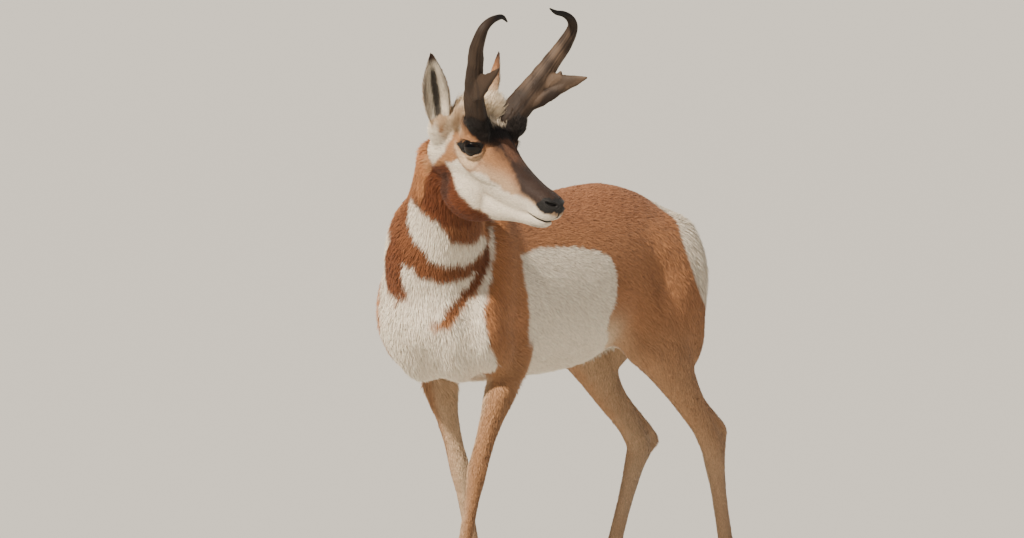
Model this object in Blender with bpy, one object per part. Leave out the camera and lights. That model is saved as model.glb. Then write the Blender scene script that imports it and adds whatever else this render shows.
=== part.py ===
"""A life-size pronghorn buck that stands with its head turned to its left.

Metres, +Z up. The animal faces -Y, its left side is towards +X, and the floor is Z = 0.
The flesh is modelled whole from named forms, and then parted with thin cuts.
"""
import math

import bmesh
import bpy
import numpy as np
from mathutils import Matrix, Vector

for old in list(bpy.data.objects):
    bpy.data.objects.remove(old, do_unlink=True)

GAP = 0.0003                 # kept between neighbouring nodes

# The trunk
TRUNK_LENGTH = 0.90          # point of the breastbone to the buttock
BREASTBONE_Y = -0.44
FRONT_TURN = math.radians(10)    # the chest turns to the left
TRUNK_BEND = math.radians(20)    # between the hips and the chest
FORE_GIRDLE = 0.19           # elbows, behind the breastbone
FORE_PARTING = 0.498         # height where the forelegs part from the trunk
HIND_PARTING = 0.550
HIND_GIRDLE = 0.77           # hips, behind the breastbone

# The head, from the joint with the neck
HEAD_JOINT = Vector((0.129, -0.521, 0.943))
HEAD_HEADING = math.radians(85.5)    # to the animal's left
HEAD_PITCH = math.radians(15.3)      # nose down
EYE_RADIUS = 0.0212
MOUTH_HALF_GAP = 0.00176     # at the lips

# The legs
FORE_LEGS = {   # to the left, behind the breastbone, height: elbow, knee, fetlock, coronet
    "left": ((0.098, 0.185, 0.548), (0.096, 0.072, 0.350), (0.084, 0.010, 0.112), (0.084, -0.018, 0.050)),
    "right": ((-0.088, 0.232, 0.546), (-0.064, 0.285, 0.347), (-0.050, 0.340, 0.112), (-0.050, 0.315, 0.050)),
}
HIND_LEGS = {   # the same of hip, stifle, hock, fetlock, coronet
    "left": ((0.090, 0.765, 0.760), (0.112, 0.672, 0.575), (0.104, 0.870, 0.365), (0.096, 0.930, 0.118),
             (0.096, 0.906, 0.052)),
    "right": ((-0.090, 0.765, 0.760), (-0.112, 0.682, 0.575), (-0.084, 0.868, 0.363), (-0.080, 0.768, 0.118),
              (-0.080, 0.738, 0.052)),
}

# The horns and ears, from the same joint
HORN = [   # towards the nose, outwards, to the crown, half depth fore and aft, half thickness
    (0.0810, 0.0450, 0.0900, 0.0280, 0.0185),
    (0.0850, 0.0515, 0.1080, 0.0285, 0.0190),
    (0.0905, 0.0730, 0.1430, 0.0270, 0.0175),
    (0.0980, 0.0945, 0.1820, 0.0230, 0.0160),
    (0.1060, 0.1135, 0.2230, 0.0178, 0.0145),
    (0.1130, 0.1275, 0.2540, 0.0150, 0.0130),
    (0.1200, 0.1325, 0.2820, 0.0118, 0.0110),
    (0.1225, 0.1290, 0.2985, 0.0096, 0.0092),
    (0.1225, 0.1160, 0.3105, 0.0078, 0.0076),
    (0.1210, 0.0980, 0.3175, 0.0062, 0.0060),
    (0.1185, 0.0780, 0.3200, 0.0048, 0.0046),
]
HORN_LIFT = {"left": 0.0010, "right": -0.0085}     # of the hook
HORN_TIP = {"left": (0.1180, 0.0560, 0.3290), "right": (0.1200, 0.0620, 0.3040)}
HORN_POINT = 0.0016          # radius at the hook's end
PRONG = [   # from inside the beam to the tip, half height and half thickness
    (0.1000, 0.0930, 0.1730, 0.0270, 0.0090),
    (0.1165, 0.1020, 0.1785, 0.0265, 0.0096),
    (0.1330, 0.1115, 0.1865, 0.0200, 0.0082),
    (0.1495, 0.1205, 0.1965, 0.0132, 0.0064),
    (0.1660, 0.1280, 0.2085, 0.0080, 0.0046),
    (0.1795, 0.1335, 0.2205, 0.0018, 0.0018),
]
PRONG_LIFT = {"left": -0.0100, "right": 0.0115}    # of the prong's tip
WEB = [   # of the left horn, from inside the beam to inside the prong, half height and half thickness
    (0.1040, 0.0660, 0.1230, 0.0040, 0.0040),
    (0.1130, 0.0790, 0.1400, 0.0105, 0.0075),
    (0.1270, 0.0960, 0.1600, 0.0112, 0.0080),
    (0.1400, 0.1100, 0.1790, 0.0090, 0.0062),
    (0.1490, 0.1190, 0.1920, 0.0036, 0.0034),
]
BLADE_TURN = 0.36            # how far a horn's flat side is turned outwards
EAR_BASE, EAR_TIP = (0.012, 0.060, 0.072), (-0.014, 0.100, 0.208)
EAR_FACING = (0.62, 0.76, 0.05)     # the way the cup opens
EAR_THICKNESS = 0.0030
EAR = [   # share of the length, half width, depth of the cup, share of the cup that is hollow
    (-0.12, 0.0150, 0.0150, 0.00),
    (0.02, 0.0175, 0.0175, 0.00),
    (0.12, 0.0205, 0.0195, 0.25),
    (0.26, 0.0245, 0.0210, 0.90),
    (0.42, 0.0262, 0.0200, 1.00),
    (0.58, 0.0245, 0.0172, 1.00),
    (0.74, 0.0192, 0.0128, 1.00),
    (0.88, 0.0116, 0.0080, 1.00),
    (0.96, 0.0056, 0.0042, 0.80),
    (1.00, 0.0020, 0.0018, 0.00),
]

# The hooves
HOOVES = {   # length and width of a claw, height at the front
    "fore": (0.066, 0.026, 0.040),
    "hind": (0.060, 0.024, 0.038),
}
CORONET_SLOPE = math.radians(24)     # the hair line rises towards the toe
CLAW_GAP = 0.0016

# Colours
TAN = (0.42, 0.20, 0.085)
PALE = (0.78, 0.70, 0.58)
DARK = (0.035, 0.024, 0.018)
EYE_BLACK = (0.012, 0.009, 0.008)

# Mesh fineness
BULK_VOXEL = 0.009
BULK_SMOOTHING = 20
FINE_VOXEL = 0.0042
FINE_SMOOTHING = 5
FLESH_TRIANGLES = 7900


def centre_line(s):
    """Plan position of the trunk's middle, s behind the breastbone, with its back and left directions."""
    bend = TRUNK_BEND / TRUNK_LENGTH
    turn = FRONT_TURN - bend * s
    x = (math.cos(FRONT_TURN) - math.cos(turn)) / bend
    y = BREASTBONE_Y + (math.sin(FRONT_TURN) - math.sin(turn)) / bend
    back = Vector((-math.sin(turn), math.cos(turn), 0))
    left = Vector((math.cos(turn), math.sin(turn), 0))
    return Vector((x, y, 0)), back, left


def on_trunk(u, s, z):
    """A point u to the left of the bent centre line, s behind the breastbone, at height z."""
    middle, _, left = centre_line(s)
    return middle + left * u + Vector((0, 0, z))


def rigid_frame(at):
    """A placing function like on_trunk, but straight, in line with the trunk at that distance."""
    middle, back, left = centre_line(at)

    def place(u, s, z):
        return middle + left * u + back * (s - at) + Vector((0, 0, z))

    return place, left, back


fore, fore_left, fore_back = rigid_frame(FORE_GIRDLE)
hind, hind_left, hind_back = rigid_frame(HIND_GIRDLE)


def head_axes():
    forward = Vector((math.sin(HEAD_HEADING) * math.cos(HEAD_PITCH),
                      -math.cos(HEAD_HEADING) * math.cos(HEAD_PITCH), -math.sin(HEAD_PITCH)))
    left = Vector((0, 0, 1)).cross(forward).normalized()
    up = forward.cross(left)
    return forward, left, up


HEAD_F, HEAD_L, HEAD_U = head_axes()


def on_head(f, l, u):
    """A point of the head: f towards the nose, l to its left and u to its crown, from the neck joint."""
    return HEAD_JOINT + HEAD_F * f + HEAD_L * l + HEAD_U * u


def catmull(rows, steps):
    """Rows of numbers, with steps - 1 smooth ones added between each two."""
    rows = np.array(rows, float)
    padded = np.vstack([2 * rows[0] - rows[1], rows, 2 * rows[-1] - rows[-2]])
    made = []
    for i in range(1, len(padded) - 2):
        a, b, c, d = padded[i - 1:i + 3]
        for k in range(steps):
            t = k / steps
            made.append(0.5 * (2 * b + (c - a) * t + (2 * a - 5 * b + 4 * c - d) * t ** 2
                               + (3 * b - a - 3 * c + d) * t ** 3))
    made.append(rows[-1])
    return np.array(made)


def mesh_object(name, verts, faces):
    mesh = bpy.data.meshes.new(name)
    mesh.from_pydata([tuple(v) for v in verts], [], faces)
    mesh.validate()
    obj = bpy.data.objects.new(name, mesh)
    bpy.context.scene.collection.objects.link(obj)
    bm = bmesh.new()
    bm.from_mesh(mesh)
    bmesh.ops.recalc_face_normals(bm, faces=bm.faces)
    bm.to_mesh(mesh)
    bm.free()
    return obj


def loft(name, rings):
    """A closed tube through rings of equally many points."""
    count = len(rings[0])
    verts = [p for ring in rings for p in ring]
    faces = []
    for i in range(len(rings) - 1):
        for j in range(count):
            k = (j + 1) % count
            faces.append((i * count + j, i * count + k, (i + 1) * count + k, (i + 1) * count + j))
    first, last = len(verts), len(verts) + 1
    verts.append(sum(rings[0], Vector()) / count)
    verts.append(sum(rings[-1], Vector()) / count)
    top = (len(rings) - 1) * count
    for j in range(count):
        k = (j + 1) % count
        faces.append((first, k, j))
        faces.append((last, top + j, top + k))
    return mesh_object(name, verts, faces)


def oval(centre, side, upright, half_width, rise, drop, sides=24, power_up=2.0, power_down=2.0):
    """A ring whose upper and lower halves differ in height and squareness."""
    ring = []
    for j in range(sides):
        angle = 2 * math.pi * j / sides
        c, s = math.cos(angle), math.sin(angle)
        power = power_up if s >= 0 else power_down
        across = math.copysign(abs(c) ** (2 / power), c) * half_width
        tall = math.copysign(abs(s) ** (2 / power), s) * (rise if s >= 0 else drop)
        ring.append(centre + side * across + upright * tall)
    return ring


def limb(name, joints, side, steps=4, sides=14):
    """A tube through joints, each a point, its half width across and its half depth fore and aft."""
    rows = catmull([[*p, across, deep] for p, across, deep in joints], steps)
    points = [Vector(row[:3]) for row in rows]
    rings = []
    for i, row in enumerate(rows):
        along = (points[min(i + 1, len(points) - 1)] - points[max(i - 1, 0)]).normalized()
        front = along.cross(side).normalized()
        across = front.cross(along)
        rings.append(oval(points[i], across, front, row[3], row[4], row[4], sides))
    return loft(name, rings)


def muscle(name, start, end, half_width, half_depth, side):
    """An ellipsoid from start to end."""
    along = end - start
    axis = along.normalized()
    front = axis.cross(side).normalized()
    across = front.cross(axis)
    bm = bmesh.new()
    bmesh.ops.create_icosphere(bm, subdivisions=3, radius=1)
    place = Matrix((across * half_width, front * half_depth, axis * along.length / 2)).transposed()
    for v in bm.verts:
        v.co = place @ v.co + (start + end) / 2
    bmesh.ops.recalc_face_normals(bm, faces=bm.faces)
    mesh = bpy.data.meshes.new(name)
    bm.to_mesh(mesh)
    bm.free()
    obj = bpy.data.objects.new(name, mesh)
    bpy.context.scene.collection.objects.link(obj)
    return obj


def apply_modifiers(obj):
    graph = bpy.context.evaluated_depsgraph_get()
    made = bpy.data.meshes.new_from_object(obj.evaluated_get(graph))
    obj.modifiers.clear()
    old_mesh = obj.data
    obj.data = made
    bpy.data.meshes.remove(old_mesh)
    return obj


def joined(name, objects):
    """The objects' meshes in one mesh, still overlapping."""
    bm = bmesh.new()
    for obj in objects:
        bm.from_mesh(obj.data)
        bpy.data.objects.remove(obj)
    mesh = bpy.data.meshes.new(name)
    bm.to_mesh(mesh)
    bm.free()
    obj = bpy.data.objects.new(name, mesh)
    bpy.context.scene.collection.objects.link(obj)
    return obj


def fused(obj, voxel, smoothing, factor=0.5):
    """Makes one skin of overlapping forms, and softens where they meet."""
    remesh = obj.modifiers.new("skin", "REMESH")
    remesh.mode = "VOXEL"
    remesh.voxel_size = voxel
    soften = obj.modifiers.new("soften", "SMOOTH")
    soften.factor = factor
    soften.iterations = smoothing
    return apply_modifiers(obj)


def boolean(obj, other, operation, keep=False):
    cut = obj.modifiers.new("cut", "BOOLEAN")
    cut.operation = operation
    cut.solver = "EXACT"
    cut.object = other
    apply_modifiers(obj)
    if not keep:
        bpy.data.objects.remove(other)
    return obj


def trunk_forms():
    """The barrel of the body with the shoulders, thighs and brisket."""
    # behind the breastbone, widest level, half width, rise, drop, power above, power below
    stations = [
        (-0.012, 0.660, 0.030, 0.045, 0.050, 2.0, 2.0),
        (0.010, 0.658, 0.066, 0.090, 0.078, 2.0, 1.9),
        (0.055, 0.664, 0.096, 0.155, 0.116, 2.0, 1.7),
        (0.110, 0.664, 0.117, 0.195, 0.142, 1.9, 1.8),
        (0.180, 0.662, 0.128, 0.212, 0.150, 1.8, 2.2),
        (0.270, 0.665, 0.136, 0.203, 0.152, 1.9, 2.3),
        (0.360, 0.668, 0.144, 0.194, 0.151, 2.1, 2.3),
        (0.460, 0.672, 0.150, 0.190, 0.150, 2.2, 2.3),
        (0.560, 0.680, 0.146, 0.195, 0.142, 2.1, 2.2),
        (0.650, 0.695, 0.134, 0.188, 0.125, 2.0, 2.1),
        (0.735, 0.715, 0.116, 0.152, 0.110, 2.0, 2.0),
        (0.805, 0.720, 0.098, 0.118, 0.100, 2.0, 2.0),
        (0.860, 0.715, 0.074, 0.082, 0.090, 2.0, 2.0),
        (0.890, 0.710, 0.040, 0.045, 0.060, 2.0, 2.0),
    ]
    rings = []
    for s, level, width, rise, drop, above, below in catmull(stations, 3):
        middle, _, left = centre_line(s)
        rings.append(oval(middle + Vector((0, 0, level)), left, Vector((0, 0, 1)),
                          width, rise, drop, 32, above, below))
    forms = [loft("barrel", rings)]
    elbows = {1: fore(*FORE_LEGS["left"][0]), -1: fore(*FORE_LEGS["right"][0])}
    for u in (1, -1):
        forms += [
            muscle("shoulder_blade", on_trunk(0.060 * u, 0.225, 0.850), on_trunk(0.112 * u, 0.075, 0.600),
                   0.040, 0.078, fore_left),
            muscle("upper_arm", on_trunk(0.102 * u, 0.052, 0.645), elbows[u] + Vector((0, 0, -0.012)),
                   0.034, 0.058, fore_left),
            muscle("triceps", on_trunk(0.085 * u, 0.215, 0.760), elbows[u] + Vector((0, 0, -0.015)),
                   0.032, 0.052, fore_left),
            muscle("breast", on_trunk(0.042 * u, 0.000, 0.690), on_trunk(0.040 * u, 0.120, 0.510),
                   0.050, 0.050, fore_left),
            muscle("rump", on_trunk(0.055 * u, 0.640, 0.800), on_trunk(0.050 * u, 0.895, 0.690),
                   0.060, 0.072, hind_left),
            muscle("hip", on_trunk(0.070 * u, 0.620, 0.800), on_trunk(0.085 * u, 0.850, 0.640),
                   0.055, 0.080, hind_left),
        ]
    forms.append(muscle("brisket", on_trunk(0, 0.020, 0.590), on_trunk(0, 0.330, 0.530),
                        0.062, 0.032, fore_left))
    forms.append(muscle("sheath", on_trunk(0, 0.500, 0.535), on_trunk(0, 0.640, 0.560),
                        0.014, 0.014, hind_left))
    return forms


def mix(a, b, t):
    return a.lerp(b, t)


def fore_leg_forms(side):
    elbow, knee, fetlock, coronet = (fore(*p) for p in FORE_LEGS[side])
    u = 1 if side == "left" else -1
    out = fore_left * u
    shank = (fetlock - knee).normalized()
    ahead = shank.cross(fore_left).normalized()
    if ahead.dot(fore_back) > 0:
        ahead = -ahead
    arm = limb("forearm_" + side, [
        (mix(elbow, knee, -0.25) + ahead * -0.016, 0.032, 0.050),
        (mix(elbow, knee, 0.00) + ahead * -0.004, 0.030, 0.043),
        (mix(elbow, knee, 0.22), 0.027, 0.036),
        (mix(elbow, knee, 0.45), 0.024, 0.030),
        (mix(elbow, knee, 0.70), 0.0195, 0.0235),
        (mix(elbow, knee, 0.88), 0.0195, 0.0215),
        (knee, 0.0205, 0.0220),
        (mix(knee, fetlock, 0.10), 0.0190, 0.0205),
        (mix(knee, fetlock, 0.22), 0.0155, 0.0170),
        (mix(knee, fetlock, 0.50), 0.0140, 0.0160),
        (mix(knee, fetlock, 0.80), 0.0145, 0.0165),
        (mix(knee, fetlock, 0.96), 0.0175, 0.0200),
        (fetlock + ahead * -0.002, 0.0180, 0.0205),
        (mix(fetlock, coronet, 0.45), 0.0165, 0.0170),
        (mix(fetlock, coronet, 0.90), 0.0205, 0.0215),
        (mix(fetlock, coronet, 1.40), 0.0230, 0.0250),
    ], fore_left)
    tendon = limb("tendon_" + side, [
        (mix(elbow, knee, 0.80) - ahead * 0.016, 0.008, 0.008),
        (mix(knee, fetlock, 0.02) - ahead * 0.020, 0.009, 0.009),
        (mix(knee, fetlock, 0.25) - ahead * 0.014, 0.007, 0.008),
        (mix(knee, fetlock, 0.60) - ahead * 0.013, 0.007, 0.008),
        (mix(knee, fetlock, 0.95) - ahead * 0.017, 0.009, 0.009),
    ], fore_left)
    belly = muscle("flexors_" + side, mix(elbow, knee, -0.12) - ahead * 0.022,
                   mix(elbow, knee, 0.62) - ahead * 0.008, 0.026, 0.026, fore_left)
    extensor = muscle("extensors_" + side, mix(elbow, knee, -0.05) + ahead * 0.016 + out * 0.008,
                      mix(elbow, knee, 0.62) + ahead * 0.006 + out * 0.004, 0.022, 0.022, fore_left)
    point = muscle("elbow_" + side, mix(elbow, knee, -0.30) - ahead * 0.040,
                   mix(elbow, knee, 0.08) - ahead * 0.026, 0.018, 0.020, fore_left)
    return [arm, tendon, belly, extensor, point]


def hind_leg_forms(side):
    hip, stifle, hock, fetlock, coronet = (hind(*p) for p in HIND_LEGS[side])
    u = 1 if side == "left" else -1
    shank = (fetlock - hock).normalized()
    ahead = shank.cross(hind_left).normalized()
    if ahead.dot(hind_back) > 0:
        ahead = -ahead
    shin = (hock - stifle).normalized()
    fore_shin = shin.cross(hind_left).normalized()
    if fore_shin.dot(hind_back) > 0:
        fore_shin = -fore_shin
    inward = hind_left * -u
    gaskin = limb("gaskin_" + side, [
        (mix(stifle, hock, -0.62) - fore_shin * 0.044 + inward * 0.034, 0.030, 0.060),
        (mix(stifle, hock, -0.36) - fore_shin * 0.042 + inward * 0.020, 0.041, 0.084),
        (mix(stifle, hock, -0.12) - fore_shin * 0.036 + inward * 0.011, 0.044, 0.090),
        (mix(stifle, hock, 0.10) - fore_shin * 0.030 + inward * 0.008, 0.042, 0.078),
        (mix(stifle, hock, 0.32) - fore_shin * 0.020 + inward * 0.004, 0.033, 0.056),
        (mix(stifle, hock, 0.55) - fore_shin * 0.011, 0.024, 0.039),
        (mix(stifle, hock, 0.80) - fore_shin * 0.009, 0.0190, 0.0310),
        (mix(stifle, hock, 0.94) - fore_shin * 0.003, 0.0205, 0.0285),
        (hock, 0.0215, 0.0270),
        (mix(hock, fetlock, 0.12), 0.0195, 0.0235),
        (mix(hock, fetlock, 0.28), 0.0160, 0.0190),
        (mix(hock, fetlock, 0.52), 0.0140, 0.0170),
        (mix(hock, fetlock, 0.82), 0.0145, 0.0170),
        (mix(hock, fetlock, 0.96), 0.0170, 0.0200),
        (fetlock - ahead * 0.002, 0.0175, 0.0205),
        (mix(fetlock, coronet, 0.45), 0.0160, 0.0170),
        (mix(fetlock, coronet, 0.90), 0.0195, 0.0210),
        (mix(fetlock, coronet, 1.40), 0.0220, 0.0245),
    ], hind_left)
    heel = hock - ahead * 0.034 - shank * 0.030
    hamstring = limb("hamstring_" + side, [
        (mix(stifle, hock, 0.30) - fore_shin * 0.040, 0.012, 0.012),
        (mix(stifle, hock, 0.62) - fore_shin * 0.036, 0.0085, 0.0085),
        (heel - ahead * 0.001, 0.011, 0.011),
        (mix(heel, hock, 0.45) - ahead * 0.012 + shank * 0.010, 0.012, 0.012),
        (mix(hock, fetlock, 0.16) - ahead * 0.018, 0.010, 0.011),
        (mix(hock, fetlock, 0.50) - ahead * 0.014, 0.0075, 0.0085),
        (mix(hock, fetlock, 0.95) - ahead * 0.016, 0.009, 0.009),
    ], hind_left)
    return [gaskin, hamstring]


def thigh_forms(side):
    hip, stifle, hock = (hind(*p) for p in HIND_LEGS[side][:3])
    u = 1 if side == "left" else -1
    shin = (hock - stifle).normalized()
    fore_shin = shin.cross(hind_left).normalized()
    if fore_shin.dot(hind_back) > 0:
        fore_shin = -fore_shin
    inward = hind_left * -u
    thigh = limb("thigh_" + side, [
        (mix(hip, stifle, -0.30) + hind_back * 0.016 + inward * 0.045, 0.020, 0.040),
        (mix(hip, stifle, -0.16) + hind_back * 0.020 + inward * 0.034, 0.046, 0.078),
        (mix(hip, stifle, 0.15) + hind_back * 0.024 + inward * 0.022, 0.060, 0.106),
        (mix(hip, stifle, 0.50) + hind_back * 0.036 + inward * 0.016, 0.058, 0.106),
        (mix(hip, stifle, 0.80) + hind_back * 0.044 + inward * 0.012, 0.049, 0.092),
        (mix(stifle, hock, 0.10) - fore_shin * 0.024 + inward * 0.006, 0.039, 0.068),
        (mix(stifle, hock, 0.32) - fore_shin * 0.014 + inward * 0.004, 0.028, 0.045),
        (mix(stifle, hock, 0.45) - fore_shin * 0.010 + inward * 0.004, 0.014, 0.022),
    ], hind_left)
    knee_cap = muscle("stifle_" + side, stifle + fore_shin * 0.030 - shin * 0.055 + inward * 0.006,
                      stifle + fore_shin * 0.012 + shin * 0.060, 0.036, 0.036, hind_left)
    buttock = muscle("buttock_" + side, on_trunk(0.058 * u, 0.812, 0.790),
                     mix(stifle, hock, 0.48) - fore_shin * 0.046 + inward * 0.004, 0.042, 0.056, hind_left)
    flank = muscle("flank_fold_" + side, on_trunk(0.092 * u, 0.555, 0.690),
                   stifle + fore_shin * 0.008 + inward * 0.010, 0.030, 0.046, hind_left)
    outer_thigh = muscle("outer_thigh_" + side, on_trunk(0.084 * u, 0.600, 0.770),
                         on_trunk(0.097 * u, 0.672, 0.545), 0.051, 0.072, hind_left)
    return [thigh, knee_cap, buttock, flank, outer_thigh]


def neck_forms():
    """The neck swings to the left as it rises, and its rings turn to follow the head."""
    # left of and behind the breastbone, height, half width, half depth to the nape and to the throat
    stations = [
        ((0.000, 0.150, 0.700), 0.118, 0.150, 0.150, 0.0),
        ((0.006, 0.090, 0.742), 0.108, 0.128, 0.130, 0.05),
        ((0.024, 0.045, 0.790), 0.096, 0.108, 0.108, 0.14),
        ((0.058, 0.012, 0.838), 0.080, 0.088, 0.088, 0.28),
        ((0.084, -0.030, 0.888), 0.066, 0.074, 0.072, 0.48),
        ((0.104, -0.066, 0.930), 0.056, 0.063, 0.062, 0.72),
        ((0.118, -0.086, 0.962), 0.050, 0.054, 0.056, 0.95),
    ]
    rows = catmull([[*fore(*place), width, nape, throat, turn]
                    for place, width, nape, throat, turn in stations], 4)
    rings = []
    for i, row in enumerate(rows):
        point = Vector(row[:3])
        ahead = Vector(rows[min(i + 1, len(rows) - 1)][:3]) - Vector(rows[max(i - 1, 0)][:3])
        along = ahead.normalized()
        side = fore_left.lerp(HEAD_L, float(row[6])).normalized()
        throatward = along.cross(side).normalized()
        if throatward.dot(Vector((0, 0, 1))) > 0:
            throatward = -throatward
        across = along.cross(throatward).normalized()
        rings.append(oval(point, across, -throatward, row[3], row[4], row[5], 28))
    return [loft("neck_tube", rings)]


def head_loft(name, stations, steps=3, sides=24):
    """Rings across the head: distance to the nose, level, half width, rise, drop, power above, below."""
    rings = []
    for f, level, width, rise, drop, above, below in catmull(stations, steps):
        rings.append(oval(on_head(f, 0, level), HEAD_L, HEAD_U, width, rise, drop, sides, above, below))
    return loft(name, rings)


def head_forms():
    skull = head_loft("skull", [
        (-0.030, 0.020, 0.030, 0.030, 0.030, 2.0, 2.0),
        (-0.010, 0.022, 0.046, 0.046, 0.050, 2.0, 2.0),
        (0.025, 0.026, 0.052, 0.058, 0.060, 2.2, 2.0),
        (0.060, 0.028, 0.053, 0.064, 0.062, 2.4, 2.0),
        (0.095, 0.026, 0.053, 0.066, 0.062, 2.5, 2.0),
        (0.125, 0.018, 0.047, 0.058, 0.056, 2.3, 2.0),
        (0.158, 0.006, 0.038, 0.047, 0.050, 2.2, 2.1),
        (0.195, -0.004, 0.0315, 0.038, 0.042, 2.2, 2.2),
        (0.230, -0.010, 0.0275, 0.030, 0.032, 2.2, 2.3),
        (0.256, -0.012, 0.0265, 0.0255, 0.027, 2.2, 2.4),
        (0.275, -0.014, 0.0235, 0.0205, 0.022, 2.2, 2.4),
        (0.286, -0.015, 0.0150, 0.0120, 0.014, 2.2, 2.2),
    ])
    jaw = head_loft("jaw", [
        (0.020, -0.048, 0.026, 0.030, 0.024, 2.0, 2.0),
        (0.050, -0.056, 0.036, 0.040, 0.034, 2.0, 2.0),
        (0.085, -0.058, 0.036, 0.040, 0.035, 2.0, 2.0),
        (0.125, -0.055, 0.030, 0.034, 0.028, 2.0, 2.0),
        (0.163, -0.052, 0.024, 0.026, 0.020, 2.0, 2.0),
        (0.200, -0.050, 0.0200, 0.018, 0.015, 2.0, 2.0),
        (0.230, -0.049, 0.0190, 0.014, 0.0135, 2.0, 2.2),
        (0.251, -0.047, 0.0180, 0.012, 0.0135, 2.0, 2.2),
        (0.266, -0.044, 0.0110, 0.008, 0.010, 2.0, 2.0),
    ])
    forms = [skull, jaw]
    for l in (1, -1):
        forms += [
            muscle("cheek", on_head(0.050, 0.034 * l, -0.010), on_head(0.120, 0.028 * l, -0.070),
                   0.018, 0.036, HEAD_L),
            muscle("brow", on_head(0.055, 0.051 * l, 0.066), on_head(0.125, 0.048 * l, 0.068),
                   0.014, 0.015, HEAD_L),
            muscle("cheek_bone", on_head(0.075, 0.052 * l, 0.018), on_head(0.165, 0.032 * l, 0.000),
                   0.013, 0.014, HEAD_L),
            muscle("horn_stem", on_head(0.085, 0.038 * l, 0.050), on_head(0.094, 0.060 * l, 0.118),
                   0.024, 0.034, HEAD_L),
            muscle("ear_root", on_head(0.000, 0.040 * l, 0.030), on_head(0.014, 0.064 * l, 0.095),
                   0.021, 0.024, HEAD_L),
            muscle("nose_wing", on_head(0.250, 0.015 * l, -0.002), on_head(0.283, 0.012 * l, -0.014),
                   0.012, 0.014, HEAD_L),
            muscle("upper_lip", on_head(0.222, 0.015 * l, -0.029), on_head(0.281, 0.008 * l, -0.031),
                   0.014, 0.010, HEAD_L),
            muscle("crown", on_head(0.030, 0.030 * l, 0.060), on_head(0.060, 0.030 * l, 0.128),
                   0.034, 0.022, HEAD_L),
        ]
    return forms


def eye_frame(l):
    """Centre, outward axis, forward edge direction and up direction of an eye; l is 1 on the left."""
    centre = on_head(0.0925, 0.0465 * l, 0.0525)
    axis = (HEAD_L * l * 0.93 + HEAD_F * 0.30 + HEAD_U * 0.08).normalized()
    ahead = (HEAD_F - axis * HEAD_F.dot(axis)).normalized()
    tall = axis.cross(ahead).normalized()
    if tall.dot(HEAD_U) < 0:
        tall = -tall
    return centre, axis, ahead, tall


def ball(name, centre, radius, segments=24, rings=14, axis=None):
    bm = bmesh.new()
    turn = Vector((0, 0, 1)).rotation_difference(axis or Vector((0, 0, 1))).to_matrix()
    bmesh.ops.create_uvsphere(bm, u_segments=segments, v_segments=rings, radius=radius)
    for v in bm.verts:
        v.co = turn @ v.co + centre
    mesh = bpy.data.meshes.new(name)
    bm.to_mesh(mesh)
    bm.free()
    obj = bpy.data.objects.new(name, mesh)
    bpy.context.scene.collection.objects.link(obj)
    return obj


def eyelids(l):
    """A ring of two lids that wraps the eyeball and leaves an almond opening."""
    centre, axis, ahead, tall = eye_frame(l)
    inner, outer = EYE_RADIUS - 0.0012, EYE_RADIUS + 0.0034
    around = 28
    rings = []
    for i in range(around):
        angle = 2 * math.pi * i / around
        c, s = math.cos(angle), math.sin(angle)
        opening = math.radians(28 + 31 * abs(c) ** 2.2 - (3 if s < 0 else 0))
        tilt = ahead * c + tall * s
        section = []
        for radius, spread in ((inner, opening), (outer - 0.0008, opening + 0.02),
                               (outer, opening + 0.16), (outer + 0.0006, math.radians(76)),
                               (inner + 0.0006, math.radians(84)), (inner, math.radians(62))):
            section.append(centre + (axis * math.cos(spread) + tilt * math.sin(spread)) * radius)
        rings.append(section)
    count = len(rings[0])
    verts = [p for ring in rings for p in ring]
    faces = []
    for i in range(around):
        n = (i + 1) % around
        for j in range(count):
            k = (j + 1) % count
            faces.append((i * count + j, i * count + k, n * count + k, n * count + j))
    return mesh_object("lids", verts, faces)


def mouth_groove():
    """A thin curved blade along the line between the lips."""
    # distance to the nose, level, half width of the muzzle there
    side = [(0.194, -0.0390, 0.0290), (0.214, -0.0415, 0.0280), (0.236, -0.0400, 0.0265),
            (0.257, -0.0378, 0.0225), (0.271, -0.0365, 0.0150)]
    path = [(f, -w, u) for f, u, w in side] + [(0.2765, 0.0, -0.0362)] + \
           [(f, w, u) for f, u, w in reversed(side)]
    rows = catmull(path, 3)
    rings = []
    for i, row in enumerate(rows):
        point = on_head(*row)
        ahead = on_head(*rows[min(i + 1, len(rows) - 1)]) - on_head(*rows[max(i - 1, 0)])
        outward = HEAD_U.cross(ahead).normalized()
        if outward.dot(point - on_head(0.20, 0, row[2])) < 0:
            outward = -outward
        lip, inside = point + outward * 0.010, point - outward * 0.005
        rings.append([lip + HEAD_U * MOUTH_HALF_GAP, inside + HEAD_U * MOUTH_HALF_GAP / 4,
                      inside - HEAD_U * MOUTH_HALF_GAP / 4, lip - HEAD_U * MOUTH_HALF_GAP])
    return loft("mouth_line", rings)


def nostril(l):
    return muscle("nostril", on_head(0.263, 0.0245 * l, -0.001), on_head(0.283, 0.0125 * l, -0.015),
                  0.0060, 0.0048, HEAD_L)


def blade_rings(rows, thin_of, sides, above, below):
    """Flattened rings along rows of point, half depth and half thickness."""
    points = [on_head(*row[:3]) for row in rows]
    rings = []
    for i, row in enumerate(rows):
        along = (points[min(i + 1, len(points) - 1)] - points[max(i - 1, 0)]).normalized()
        front, thin = thin_of(along)
        rings.append(oval(points[i], thin, front, row[4], row[3], row[3], sides, above, below))
    return rings


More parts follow.
